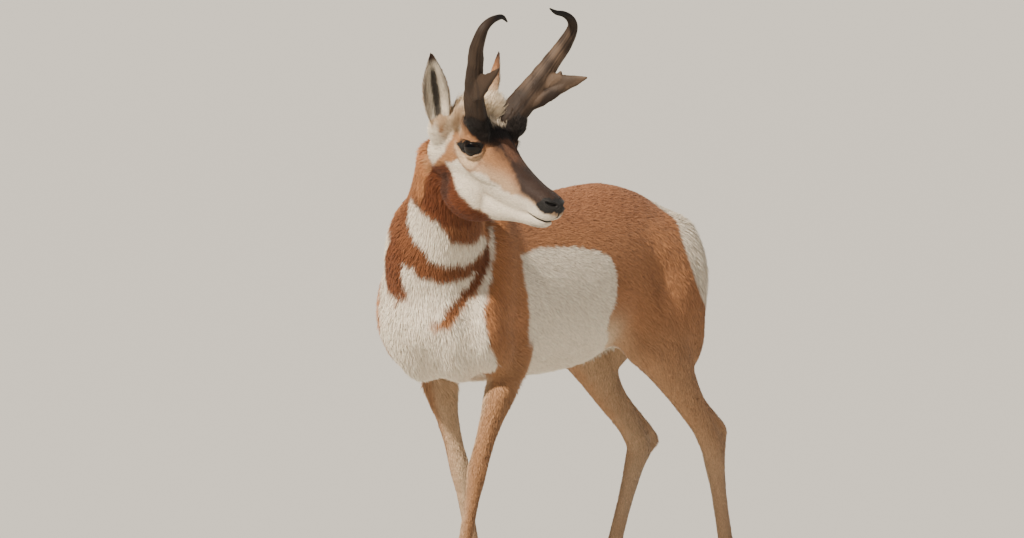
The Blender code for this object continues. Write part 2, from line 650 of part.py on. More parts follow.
def horn(side):
    """The flattened beam with its hooked tip, and the prong on its front edge."""
    l = 1 if side == "left" else -1
    blade = (HEAD_F + HEAD_L * l * BLADE_TURN).normalized()
    flat = (HEAD_L * l - HEAD_F * BLADE_TURN).normalized()

    def beam_axes(along):
        front = (blade - along * blade.dot(along)).normalized()
        return front, along.cross(front)

    def prong_axes(along):
        tall = flat.cross(along).normalized()
        return tall, along.cross(tall)

    f, w, u = HORN_TIP[side]
    rows = [[a, b * l, c + HORN_LIFT[side] * (i / len(HORN)) ** 3, deep, thick]
            for i, (a, b, c, deep, thick) in enumerate(HORN)] + [[f, w * l, u, HORN_POINT, HORN_POINT]]
    beam = loft("horn_" + side, blade_rings(catmull(rows, 2), beam_axes, 13, 1.8, 2.2))
    rows = [[f, w * l, u + PRONG_LIFT[side] * (i / (len(PRONG) - 1)) ** 2, tall, thick]
            for i, (f, w, u, tall, thick) in enumerate(PRONG)]
    prong = loft("prong", blade_rings(catmull(rows, 2), prong_axes, 10, 2.0, 2.0))
    whole = boolean(beam, prong, "UNION")
    if side == "left":
        web = loft("web", blade_rings(catmull(WEB, 1), prong_axes, 8, 2.0, 2.0))
        whole = boolean(whole, web, "UNION")
    return whole


def ear(side):
    """A cupped leaf, solid at its root."""
    l = 1 if side == "left" else -1
    base = on_head(EAR_BASE[0], EAR_BASE[1] * l, EAR_BASE[2])
    tip = on_head(EAR_TIP[0], EAR_TIP[1] * l, EAR_TIP[2])
    axis = (tip - base).normalized()
    facing = HEAD_F * EAR_FACING[0] + HEAD_L * l * EAR_FACING[1] + HEAD_U * EAR_FACING[2]
    facing = (facing - axis * facing.dot(axis)).normalized()
    across = axis.cross(facing)
    half = 7
    rings = []
    for share, width, depth, hollow in catmull(EAR, 2):
        middle = base + (tip - base) * share + facing * (0.004 * math.sin(math.pi * max(share, 0)))
        outer, inner = [], []
        for j in range(half):
            angle = math.pi * (j / (half - 1)) - math.pi / 2
            s, c = math.sin(angle), math.cos(angle)
            outer.append(middle + across * width * s - facing * depth * (c - 0.35))
            shrink = max(width - EAR_THICKNESS * 0.8, width * 0.3) / width
            cup = max(depth - EAR_THICKNESS, depth * 0.3) * hollow
            inner.append(middle + across * width * shrink * s - facing * (cup * c - depth * 0.35))
        rings.append(outer + inner[::-1])
    return loft("ear_" + side, rings)


def claw(name, place, forward, left, length, width, height, inner):
    """Half of a cloven hoof, flat below, pointed ahead; inner is 1 where the other claw is to its left."""
    # share of the length from heel to toe, outer and inner share of the width
    outline = [(0.00, 0.36, 0.20), (0.10, 0.50, 0.34), (0.30, 0.58, 0.42), (0.55, 0.55, 0.40),
               (0.78, 0.38, 0.34), (0.93, 0.16, 0.26), (1.00, -0.06, 0.14)]
    loops = []
    for z, scale, shift in ((0.0, 1.0, 0.0), (0.35 * height, 0.96, -0.055), (0.75 * height, 0.84, -0.115),
                            (1.35 * height, 0.70, -0.200)):
        ring = []
        for share, outer, inner_share in outline:
            along = (share - 0.42) * length * scale + shift * length
            ring.append(place + forward * along + left * (-inner * outer * width * scale) + Vector((0, 0, z)))
        for share, outer, inner_share in reversed(outline):
            along = (share - 0.42) * length * scale + shift * length
            aside = inner * inner_share * width * scale
            ring.append(place + forward * along + left * aside + Vector((0, 0, z)))
        loops.append(ring)
    return loft(name, loops)


def plate(name, centre, normal, across, half_across, half_deep, thickness):
    """A box round centre, half_across wide along one direction and half_deep wide along the other."""
    normal = normal.normalized()
    side = (across - normal * across.dot(normal)).normalized()
    other = normal.cross(side)
    verts = []
    for k in (-0.5, 0.5):
        for a, b in ((-1, -1), (1, -1), (1, 1), (-1, 1)):
            verts.append(centre + normal * thickness * k + side * half_across * a + other * half_deep * b)
    faces = [(0, 3, 2, 1), (4, 5, 6, 7), (0, 1, 5, 4), (1, 2, 6, 5), (2, 3, 7, 6), (3, 0, 4, 7)]
    return mesh_object(name, verts, faces)


def knife(centre, normal, across, half_across, half_deep):
    """A thin plate that parts two nodes."""
    return plate("knife", centre, normal, across, half_across, half_deep, GAP)


def loose_parts(obj):
    """The object's separate closed surfaces, as objects of their own."""
    bm = bmesh.new()
    bm.from_mesh(obj.data)
    bm.verts.index_update()
    seen = set()
    groups = []
    for start in bm.verts:
        if start in seen:
            continue
        stack, group = [start], []
        seen.add(start)
        while stack:
            v = stack.pop()
            group.append(v)
            for edge in v.link_edges:
                other = edge.other_vert(v)
                if other not in seen:
                    seen.add(other)
                    stack.append(other)
        groups.append(group)
    parts = []
    for group in groups:
        index = {v: i for i, v in enumerate(group)}
        faces = {f for v in group for f in v.link_faces}
        if not faces:
            continue
        part = mesh_object("piece", [v.co.copy() for v in group],
                           [[index[v] for v in f.verts] for f in sorted(faces, key=lambda f: f.index)])
        parts.append(part)
    bm.free()
    bpy.data.objects.remove(obj)
    return parts


def volume(obj):
    bm = bmesh.new()
    bm.from_mesh(obj.data)
    size = bm.calc_volume()
    bm.free()
    return size


def largest(obj):
    """Keeps the largest closed surface."""
    name = obj.name
    parts = sorted(loose_parts(obj), key=volume)
    for scrap in parts[:-1]:
        bpy.data.objects.remove(scrap)
    parts[-1].name = name
    parts[-1].data.name = name
    return parts[-1]


def inflated(obj, by=GAP):
    copy = bpy.data.objects.new("inflated", obj.data.copy())
    bpy.context.scene.collection.objects.link(copy)
    grow = copy.modifiers.new("grow", "DISPLACE")
    grow.strength = by
    grow.mid_level = 0
    return apply_modifiers(copy)


def build_flesh():
    bulk = joined("bulk", trunk_forms() + neck_forms() + thigh_forms("left") + thigh_forms("right"))
    fused(bulk, BULK_VOXEL, BULK_SMOOTHING)
    forms = [bulk]
    for side in ("left", "right"):
        forms += fore_leg_forms(side) + hind_leg_forms(side)
    forms += head_forms()
    return fused(joined("flesh", forms), FINE_VOXEL, FINE_SMOOTHING)


def thin_out(obj, triangles):
    """Fewer triangles, taken where the surface bends least."""
    count = sum(len(p.vertices) - 2 for p in obj.data.polygons)
    thin = obj.modifiers.new("thin", "DECIMATE")
    thin.ratio = triangles / count
    thin.use_collapse_triangulate = True
    return apply_modifiers(obj)


def half_space(point, normal, across, reach=0.12):
    """A block that fills the side of a plane that its normal points to."""
    return plate("half_space", point + normal.normalized() * reach / 2, normal, across, reach, reach, reach)


def feet(leg_names):
    """Parts each leg from its two claws along the line of the hair."""
    for end, side in (("fore", "left"), ("fore", "right"), ("hind", "left"), ("hind", "right")):
        place, joints = (fore, FORE_LEGS) if end == "fore" else (hind, HIND_LEGS)
        left, back = (fore_left, fore_back) if end == "fore" else (hind_left, hind_back)
        fetlock, coronet = place(*joints[side][-2]), place(*joints[side][-1])
        ahead = -back
        length, width, height = HOOVES[end]
        sole = Vector((coronet.x, coronet.y, 0)) + ahead * 0.014
        normal = (Vector((0, 0, 1)) - ahead * math.tan(CORONET_SLOPE)).normalized()
        hair_line = Vector((coronet.x, coronet.y, height * 0.80))
        leg = bpy.data.objects[leg_names[end, side]]
        boolean(leg, half_space(hair_line + normal * GAP / 2, -normal, left), "DIFFERENCE")
        for inner, name in ((1, "right"), (-1, "left")):
            shift = left * (-inner * (CLAW_GAP / 2 + width * 0.42))
            half = claw("hoof_%s_%s_%s" % (end, side, name), sole + shift, ahead, left,
                        length, width, height, inner)
            boolean(half, half_space(hair_line - normal * GAP / 2, normal, left), "DIFFERENCE")
            largest(half)


def part_at(obj, cuts, names):
    """Parts one object with plates, then names the pieces by the points nearest them."""
    for cut in cuts:
        boolean(obj, cut, "DIFFERENCE")
    pieces = loose_parts(obj)
    pieces.sort(key=volume, reverse=True)
    middles = []
    for piece in pieces:
        corners = [Vector(v.co) for v in piece.data.vertices]
        middles.append(sum(corners, Vector()) / len(corners))
    taken = {}
    for name, point in names.items():
        order = sorted(range(len(pieces)), key=lambda i: (middles[i] - point).length)
        best = next(i for i in order if i not in taken.values() and volume(pieces[i]) > 2e-5)
        taken[name] = best
    for name, i in taken.items():
        pieces[i].name = name
        pieces[i].data.name = name
    for i, piece in enumerate(pieces):
        if i not in taken.values():
            bpy.data.objects.remove(piece)


def tail_form():
    return limb("tail", [
        (on_trunk(0, 0.840, 0.768), 0.020, 0.016),
        (on_trunk(0, 0.880, 0.758), 0.023, 0.017),
        (on_trunk(0, 0.903, 0.728), 0.024, 0.015),
        (on_trunk(0, 0.909, 0.690), 0.021, 0.013),
        (on_trunk(0, 0.906, 0.655), 0.013, 0.009),
        (on_trunk(0, 0.902, 0.640), 0.004, 0.004),
    ], hind_left, 3, 12)


def material(name, colour, roughness):
    made = bpy.data.materials.new(name)
    made.use_nodes = True
    shader = made.node_tree.nodes["Principled BSDF"]
    shader.inputs["Base Color"].default_value = (*colour, 1)
    shader.inputs["Roughness"].default_value = roughness
    shader.inputs["Metallic"].default_value = 0
    return made


def centre_the_box():
    """Moves everything level, so that the middle of the bounding box stands over the origin."""
    objects = list(bpy.context.scene.collection.objects)
    points = np.array([v.co for obj in objects for v in obj.data.vertices])
    middle = (points.min(0) + points.max(0)) / 2
    shift = Vector((-middle[0], -middle[1], 0))
    for obj in objects:
        for v in obj.data.vertices:
            v.co += shift


def main():
    flesh = build_flesh()
    thin_out(flesh, FLESH_TRIANGLES)
    horns = [horn("left"), horn("right")]
    ears = [ear("left"), ear("right")]
    tail = tail_form()
    for l in (1, -1):
        boolean(flesh, eyelids(l), "UNION")
        centre, axis, _, _ = eye_frame(l)
        boolean(flesh, ball("socket", centre, EYE_RADIUS + GAP, 24, 14, axis), "DIFFERENCE")
        boolean(flesh, nostril(l), "DIFFERENCE")
    boolean(flesh, mouth_groove(), "DIFFERENCE")
    for piece in horns + [tail]:
        boolean(flesh, inflated(piece), "DIFFERENCE")
    for piece in ears:
        boolean(flesh, inflated(piece, 2.2 * GAP), "DIFFERENCE")
    flesh = largest(flesh)
    for l, side in ((1, "left"), (-1, "right")):
        centre, axis, _, _ = eye_frame(l)
        ball("eye_" + side, centre, EYE_RADIUS, 20, 12, axis)

    nape = on_head(-0.012, 0, -0.010)
    neck_way = (HEAD_JOINT - fore(0.058, 0.012, 0.838)).normalized()
    cuts = [
        knife(nape, (neck_way + HEAD_F * 0.5).normalized(), HEAD_L, 0.16, 0.13),
        knife(fore(0.004, 0.070, 0.752), Vector((0, -0.62, 0.78)), fore_left, 0.20, 0.26),
        knife(on_trunk(0, 0.750, HIND_PARTING), Vector((0, 0.30, -0.95)), hind_left, 0.24, 0.22),
    ]
    names = {
        "torso": on_trunk(0, 0.42, 0.68), "neck": fore(0.05, 0.01, 0.84), "head": on_head(0.11, 0, 0.01),
    }
    leg_names = {}
    for side, u in (("left", 1), ("right", -1)):
        elbow, knee, fetlock, coronet = (fore(*p) for p in FORE_LEGS[side])
        shoulder_cut = mix(elbow, knee, (elbow.z - FORE_PARTING) / (elbow.z - knee.z)) + fore_left * u * 0.010
        cuts.append(knife(shoulder_cut, Vector((0, 0, -1)), fore_left, 0.056, 0.080))
        cuts.append(knife(mix(knee, fetlock, 0.02), fetlock - elbow, fore_left, 0.034, 0.040))
        names["foreleg_%s_upper" % side] = mix(elbow, knee, 0.6)
        names["foreleg_%s_lower" % side] = mix(knee, fetlock, 0.5)
        leg_names["fore", side] = "foreleg_%s_lower" % side
        hip, stifle, hock, fetlock, coronet = (hind(*p) for p in HIND_LEGS[side])
        down_leg = fetlock - mix(stifle, hock, 0.7)
        cuts.append(knife(mix(hock, fetlock, 0.06), down_leg, hind_left, 0.040, 0.060))
        names["hindleg_%s_upper" % side] = mix(stifle, hock, 0.4)
        names["hindleg_%s_lower" % side] = mix(hock, fetlock, 0.5)
        leg_names["hind", side] = "hindleg_%s_lower" % side
    part_at(flesh, cuts, names)
    feet(leg_names)

    coat, cream, keratin, dark_eye = (material("coat", TAN, 0.9), material("cream", PALE, 0.9),
                                      material("keratin", DARK, 0.45), material("dark_eye", EYE_BLACK, 0.08))
    for obj in bpy.context.scene.collection.objects:
        surface = coat
        if obj.name.startswith(("horn", "hoof")):
            surface = keratin
        elif obj.name.startswith("eye"):
            surface = dark_eye
        elif obj.name.startswith("tail"):
            surface = cream
        own = surface.copy()
        own.name = obj.name + "_surface"
        obj.data.materials.clear()
        obj.data.materials.append(own)
        for polygon in obj.data.polygons:
            polygon.use_smooth = True
    centre_the_box()


if __name__ == "__main__":
    main()
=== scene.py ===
import math
import time

import bmesh
import bpy
import numpy as np
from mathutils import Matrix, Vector
from mathutils.bvhtree import BVHTree


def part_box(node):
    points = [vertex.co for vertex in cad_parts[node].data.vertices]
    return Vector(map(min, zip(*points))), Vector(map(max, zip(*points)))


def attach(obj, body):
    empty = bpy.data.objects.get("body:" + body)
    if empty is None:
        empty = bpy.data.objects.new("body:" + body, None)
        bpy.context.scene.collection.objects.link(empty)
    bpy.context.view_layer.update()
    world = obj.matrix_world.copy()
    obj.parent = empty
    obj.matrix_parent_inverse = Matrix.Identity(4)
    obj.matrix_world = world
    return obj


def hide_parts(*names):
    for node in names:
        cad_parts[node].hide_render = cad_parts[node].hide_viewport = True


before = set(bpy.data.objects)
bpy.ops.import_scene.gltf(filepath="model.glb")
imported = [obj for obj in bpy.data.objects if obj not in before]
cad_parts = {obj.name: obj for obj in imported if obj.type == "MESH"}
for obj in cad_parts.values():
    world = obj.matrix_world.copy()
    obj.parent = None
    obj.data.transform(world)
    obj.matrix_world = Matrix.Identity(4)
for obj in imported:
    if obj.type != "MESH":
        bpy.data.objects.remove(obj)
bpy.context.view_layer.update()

startTime = time.time()
bothSides = {"left": 1, "right": -1}


def report(text):
    print("%5.1f s  %s" % (time.time() - startTime, text))


def mm(*rows):
    return np.array(rows, float) / 1000


def unit(v):
    v = np.asarray(v, float)
    return v / np.maximum(np.linalg.norm(v, axis=-1, keepdims=True), 1e-9)


def smooth(low, high, x):
    t = np.clip((np.asarray(x, float) - low) / (high - low), 0, 1)
    return t * t * (3 - 2 * t)


def bump(x, width):
    return np.exp(-(x / width) ** 2)


def catmull(rows, steps):
    # rows of numbers, with steps - 1 smooth ones added between each two
    rows = np.array(rows, float)
    padded = np.vstack([2 * rows[0] - rows[1], rows, 2 * rows[-1] - rows[-2]])
    made = []
    for i in range(1, len(padded) - 2):
        a, b, c, d = padded[i - 1:i + 3]
        for t in np.arange(steps) / steps:
            made.append(0.5 * (2 * b + (c - a) * t + (2 * a - 5 * b + 4 * c - d) * t ** 2
                               + (3 * b - a - 3 * c + d) * t ** 3))
    made.append(rows[-1])
    return np.array(made)


# Where the body's own places are. The trunk bends to its left, and the head looks back over that side.
trunk = dict(length=0.90, breastboneY=-0.44, frontTurn=math.radians(10), bend=math.radians(20),
             girdle=dict(fore=0.19, hind=0.77))
head = dict(joint=(0.129, -0.521, 0.943), heading=math.radians(85.5), noseDown=math.radians(15.3),
            eye=(0.0925, 0.0465, 0.0525), eyeRadius=0.0212)

turn, dip = head["heading"], head["noseDown"]
headForward = np.array([math.sin(turn) * math.cos(dip), -math.cos(turn) * math.cos(dip), -math.sin(dip)])
headLeft = unit(np.cross([0, 0, 1], headForward))
headUp = np.cross(headForward, headLeft)
headOrigin = sum(np.array(corner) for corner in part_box("eye_left")) / 2 - (
    headForward * head["eye"][0] + headLeft * head["eye"][1] + headUp * head["eye"][2])
shift = (headOrigin - np.array(head["joint"])) * (1, 1, 0)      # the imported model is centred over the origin
curve = trunk["bend"] / trunk["length"]
bendCentre = np.array([math.cos(trunk["frontTurn"]) / curve,
                       trunk["breastboneY"] + math.sin(trunk["frontTurn"]) / curve]) + shift[:2]


def onHead(f, l, u):
    # f towards the nose, l to its left, u to its crown, from the joint with the neck
    place = headOrigin
    for part, axis in ((f, headForward), (l, headLeft), (u, headUp)):
        place = place + np.multiply.outer(part, axis)
    return place


def headPlace(points):
    away = points - headOrigin
    return away @ headForward, away @ headLeft, away @ headUp


def centreLine(s):
    # the trunk's middle in plan, s behind the breastbone, with its back and left directions
    turn = trunk["frontTurn"] - curve * np.asarray(s, float)
    x = (math.cos(trunk["frontTurn"]) - np.cos(turn)) / curve
    y = trunk["breastboneY"] + (math.sin(trunk["frontTurn"]) - np.sin(turn)) / curve
    zero = np.zeros_like(turn)
    back = np.stack([-np.sin(turn), np.cos(turn), zero], -1)
    left = np.stack([np.cos(turn), np.sin(turn), zero], -1)
    return np.stack([x, y, zero], -1) + shift, back, left


def trunkPlace(points):
    # distance behind the breastbone, to the left of the centre line, and height
    away = bendCentre - points[:, :2]
    turn = np.arctan2(away[:, 1], away[:, 0])
    return (trunk["frontTurn"] - turn) / curve, 1 / curve - np.hypot(away[:, 0], away[:, 1]), points[:, 2]


def nearGirdle(u, s, z, end):
    middle, back, left = centreLine(trunk["girdle"][end])
    return middle + left * u + back * (s - trunk["girdle"][end]) + np.array([0, 0, z])


# The neck's axis: left of and behind the breastbone, height, and how far its sides have turned with the head
neckAxis = [(0.000, 0.150, 0.700, 0.0), (0.006, 0.090, 0.742, 0.05), (0.024, 0.045, 0.790, 0.14),
            (0.058, 0.012, 0.838, 0.28), (0.084, -0.030, 0.888, 0.48), (0.104, -0.066, 0.930, 0.72),
            (0.118, -0.086, 0.962, 0.95)]
neckSteps = 8
neckRows = catmull([[*nearGirdle(u, s, z, "fore"), turned] for u, s, z, turned in neckAxis], neckSteps)
neckStep = np.linalg.norm(np.gradient(neckRows[:, :3], axis=0), axis=1)
neckAlong = unit(np.gradient(neckRows[:, :3], axis=0))
foreLeft = centreLine(trunk["girdle"]["fore"])[2]
neckSide = unit(foreLeft * (1 - neckRows[:, 3:]) + headLeft * neckRows[:, 3:])
neckThroat = unit(np.cross(neckAlong, neckSide))
neckThroat *= -np.sign(neckThroat[:, 2:])
neckAcross = unit(np.cross(neckAlong, neckThroat))
neckAcross *= np.sign(neckAcross @ foreLeft)[:, None]


def neckPlace(points):
    # how many stations up the neck, and the angle round it from the throat towards the animal's left
    nearest = np.empty(len(points), int)
    for i in range(0, len(points), 50000):
        block = points[i:i + 50000, None, :] - neckRows[None, :, :3]
        nearest[i:i + 50000] = np.argmin((block ** 2).sum(-1), axis=1)
    away = points - neckRows[nearest, :3]
    along = nearest + (away * neckAlong[nearest]).sum(-1) / neckStep[nearest]
    across, throat = ((away * way[nearest]).sum(-1) for way in (neckAcross, neckThroat))
    return along / neckSteps, np.arctan2(across, throat)


def linked(name, data):
    obj = bpy.data.objects.new(name, data)
    bpy.context.scene.collection.objects.link(obj)
    return obj


def meshOf(name, bm):
    mesh = bpy.data.meshes.new(name)
    bm.to_mesh(mesh)
    bm.free()
    return mesh


def outwards(obj):
    bm = bmesh.new()
    bm.from_mesh(obj.data)
    bmesh.ops.recalc_face_normals(bm, faces=bm.faces)
    bm.to_mesh(obj.data)
    bm.free()
    return obj


def meshObject(name, verts, faces):
    mesh = bpy.data.meshes.new(name)
    mesh.from_pydata([tuple(v) for v in verts], [], faces)
    return linked(name, mesh)


def loft(name, rings):
    # a closed tube through rings of equally many points
    rings = np.array(rings, float)
    rows, count = rings.shape[:2]
    verts = list(rings.reshape(-1, 3)) + [rings[0].mean(0), rings[-1].mean(0)]
    nextTo = [(j, (j + 1) % count) for j in range(count)]
    faces = [(i * count + j, i * count + k, (i + 1) * count + k, (i + 1) * count + j)
             for i in range(rows - 1) for j, k in nextTo]
    first, top = rows * count, (rows - 1) * count
    for j, k in nextTo:
        faces += [(first, k, j), (first + 1, top + j, top + k)]
    return outwards(meshObject(name, verts, faces))


def oval(centre, side, upright, halfWidth, rise, drop, count=24, powerUp=2.0, powerDown=2.0):
    angle = np.linspace(0, 2 * math.pi, count, endpoint=False)
    c, s = np.cos(angle), np.sin(angle)
    power = np.where(s >= 0, powerUp, powerDown)
    across = np.sign(c) * np.abs(c) ** (2 / power) * halfWidth
    tall = np.sign(s) * np.abs(s) ** (2 / power) * np.where(s >= 0, rise, drop)
    return centre + np.multiply.outer(across, side) + np.multiply.outer(tall, upright)


def muscle(name, start, end, halfWidth, halfDepth):
    # an ellipsoid from start to end
    axis = unit(end - start)
    front = unit(np.cross(axis, headLeft))
    bm = bmesh.new()
    bmesh.ops.create_icosphere(bm, subdivisions=4, radius=1)
    mesh = meshOf(name, bm)
    co = (start + end) / 2 + coordinates(mesh) @ np.array([
        np.cross(front, axis) * halfWidth, front * halfDepth, axis * np.linalg.norm(end - start) / 2])
    mesh.vertices.foreach_set("co", co.ravel())
    return outwards(linked(name, mesh))


def readRows(items, attribute, width, kind=float):
    values = np.empty(len(items) * width, kind)
    items.foreach_get(attribute, values)
    return values.reshape(-1, width)


def coordinates(mesh):
    return readRows(mesh.vertices, "co", 3)


def vertexNormals(mesh):
    return readRows(mesh.vertex_normals, "vector", 3, np.float32).astype(float)


def triangleCorners(mesh):
    mesh.calc_loop_triangles()
    return readRows(mesh.loop_triangles, "vertices", 3, np.int32)


def setCoordinates(mesh, co):
    mesh.vertices.foreach_set("co", co.astype(np.float32).ravel())
    mesh.update()


def spread(values, ends, rounds):
    # each vertex's value moves half way towards the mean of its neighbours'
    flat = values.astype(float)
    count = np.maximum(np.bincount(ends.ravel(), minlength=len(flat)).astype(float), 1)
    for _ in range(rounds):
        total = np.stack([np.bincount(ends[:, 0], column[ends[:, 1]], len(flat))
                          + np.bincount(ends[:, 1], column[ends[:, 0]], len(flat)) for column in flat.T], -1)
        flat = flat * 0.5 + total / count[:, None] * 0.5
    return flat


def joined(name, objects):
    bm = bmesh.new()
    for obj in objects:
        bm.from_mesh(obj.data)
        bpy.data.objects.remove(obj)
    return linked(name, meshOf(name, bm))


def fused(obj, voxel, smoothing):
    # makes one skin of overlapping forms, and softens where they meet
    remesh = obj.modifiers.new("skin", "REMESH")
    remesh.mode = "VOXEL"
    remesh.voxel_size = voxel
    soften = obj.modifiers.new("soften", "SMOOTH")
    soften.factor = 0.5
    soften.iterations = smoothing
    oldMesh = obj.data
    made = bpy.data.meshes.new_from_object(obj.evaluated_get(bpy.context.evaluated_depsgraph_get()))
    obj.modifiers.clear()
    obj.data = made
    bpy.data.meshes.remove(oldMesh)
    return obj


# The head's forms. Lofts: towards the nose, level, half width, rise and drop in mm, squareness above and below.
headShape = dict(
    skull=[
        (-30, 20, 30, 30, 30, 2.0, 2.0), (-10, 22, 46, 46, 50, 2.0, 2.0), (25, 26, 52, 58, 60, 2.2, 2.0),
        (60, 28, 53, 64, 62, 2.4, 2.0), (95, 26, 53, 66, 62, 2.5, 2.0), (125, 18, 47, 58, 56, 2.3, 2.0),
        (158, 6, 38, 47, 50, 2.2, 2.1), (195, -4, 31.5, 38, 42, 2.2, 2.2), (230, -10, 27.5, 30, 32, 2.2, 2.3),
        (256, -12, 26.5, 25.5, 27, 2.2, 2.4), (275, -14, 23.5, 20.5, 22, 2.2, 2.4), (286, -15, 15, 12, 14, 2.2, 2.2)],
    jaw=[
        (20, -48, 26, 30, 24, 2.0, 2.0), (50, -56, 36, 40, 34, 2.0, 2.0), (85, -58, 36, 40, 35, 2.0, 2.0),
        (125, -55, 30, 34, 28, 2.0, 2.0), (163, -52, 24, 26, 20, 2.0, 2.0), (200, -50, 20, 18, 15, 2.0, 2.0),
        (230, -49, 19, 14, 13.5, 2.0, 2.2), (251, -47, 18, 12, 13.5, 2.0, 2.2), (266, -44, 11, 8, 10, 2.0, 2.0)],
    # on both sides, in mm: start and end as forward, out and up, then half width and half depth
    sides=dict(
        cheek=(50, 34, -10, 120, 28, -70, 18, 36),
        brow=(55, 51, 66, 125, 48, 68, 14, 15),
        cheekBone=(75, 52, 18, 165, 32, 0, 13, 14),
        hornStem=(85, 38, 50, 94, 60, 118, 21, 31),
        earRoot=(0, 40, 30, 14, 64, 95, 21, 24),
        noseWing=(250, 15, -2, 283, 12, -14, 12, 14),
        upperLip=(222, 15, -29, 281, 8, -31, 14, 10),
        crown=(30, 30, 60, 60, 30, 128, 34, 22)),
)


def headForms():
    forms = []
    for name in ("skull", "jaw"):
        rows = np.array(headShape[name])
        rows[:, :5] /= 1000
        forms.append(loft(name, [oval(onHead(f, 0, level), headLeft, headUp, width, rise, drop, 32, above, below)
                                 for f, level, width, rise, drop, above, below in catmull(rows, 4)]))
    for name, row in headShape["sides"].items():
        a, b, c, d, e, f, halfWidth, halfDepth = mm(*row)
        forms += [muscle(name, onHead(a, b * l, c), onHead(d, e * l, f), halfWidth, halfDepth)
                  for l in bothSides.values()]
    return forms


fleshNodes = ["torso", "neck", "head", "tail", "ear_left", "ear_right"] + [
    "%sleg_%s_%s" % (end, side, half) for end in ("fore", "hind") for side in bothSides for half in ("upper", "lower")]

# Size of the grain that the first skin and the fine head are made with, and rounds of smoothing
skinMake = dict(first=(0.0064, 6), fineHead=(0.0022, 26))

# Each ear is a thin cup. Stations: share of the length, half width, depth of the cup, how hollow it is.
earShape = dict(
    base=(0.012, 0.060, 0.072), tip=(-0.014, 0.100, 0.208), facing=(0.62, 0.76, 0.05), thickness=0.0026, bow=0.004,
    stations=[
        (-0.12, 0.0145, 0.0150, 0.00), (0.02, 0.0168, 0.0175, 0.00), (0.12, 0.0195, 0.0195, 0.25),
        (0.26, 0.0230, 0.0210, 0.90), (0.42, 0.0243, 0.0200, 1.00), (0.58, 0.0222, 0.0172, 1.00),
        (0.72, 0.0172, 0.0128, 1.00), (0.85, 0.0104, 0.0080, 1.00), (0.94, 0.0052, 0.0042, 0.80),
        (0.98, 0.0020, 0.0018, 0.00)],
)


def earAxes(l):
    base, tip = (onHead(f, out * l, u) for f, out, u in (earShape["base"], earShape["tip"]))
    axis = unit(tip - base)
    a, b, c = earShape["facing"]
    facing = headForward * a + headLeft * l * b + headUp * c
    facing = unit(facing - axis * (facing @ axis))
    return base, tip, axis, facing, np.cross(axis, facing)


def cupDepth(depth):
    return np.maximum(depth - earShape["thickness"], depth * 0.3)


def earForm(l):
    base, tip, axis, facing, across = earAxes(l)
    angle = np.linspace(-math.pi / 2, math.pi / 2, 17)
    s, c = np.sin(angle)[:, None], np.cos(angle)[:, None]
    rings = []
    for share, width, depth, hollow in catmull(earShape["stations"], 6):
        middle = base + (tip - base) * share + facing * (earShape["bow"] * math.sin(math.pi * max(share, 0)))
        narrow = max(width - earShape["thickness"] * 0.8, width * 0.3)
        outer = middle + across * width * s - facing * depth * (c - 0.35)
        inner = middle + across * narrow * s - facing * (cupDepth(depth) * hollow * c - depth * 0.35)
        rings.append(np.vstack([outer, inner[::-1]]))
    return loft("ear", rings)


def earPlace(points, l):
    # share of the ear's length, place across it from -1 to 1, and whether the point is inside the cup
    base, tip, axis, facing, across = earAxes(l)
    away = points - base
    share = away @ axis / np.linalg.norm(tip - base)
    rows = np.array(earShape["stations"])
    width, depth, hollow = (np.interp(share, rows[:, 0], rows[:, k]) for k in (1, 2, 3))
    out = away @ facing - earShape["bow"] * np.sin(math.pi * np.clip(share, 0, 1))
    w = np.clip(away @ across / width, -1, 1)
    c = np.sqrt(1 - w ** 2)
    middle = (-depth * (c - 0.35) - (cupDepth(depth) * hollow * c - depth * 0.35)) / 2
    return share, w, (out > middle) & (share > 0.10)


def eyeFrame(l):
    a, b, c = head["eye"]
    axis = unit(headLeft * l * 0.93 + headForward * 0.30 + headUp * 0.08)
    ahead = unit(headForward - axis * (headForward @ axis))
    tall = np.cross(axis, ahead)
    return onHead(a, b * l, c), axis, ahead, tall * np.sign(tall @ headUp)


def eyeRays(theta, turn, l):
    # directions out of the eye's middle at these angles from its axis and round it
    centre, axis, ahead, tall = eyeFrame(l)
    return (np.outer(np.cos(theta), axis) + np.outer(np.sin(theta) * np.cos(turn), ahead)
            + np.outer(np.sin(theta) * np.sin(turn), tall))


def eyePlace(points, l):
    # angle from the eye's axis, angle round it from the front corner, and distance from the eye's middle
    centre, axis, ahead, tall = eyeFrame(l)
    away = points - centre
    x, y = away @ ahead, away @ tall
    return np.arctan2(np.hypot(x, y), away @ axis), np.arctan2(y, x), np.linalg.norm(away, axis=1)


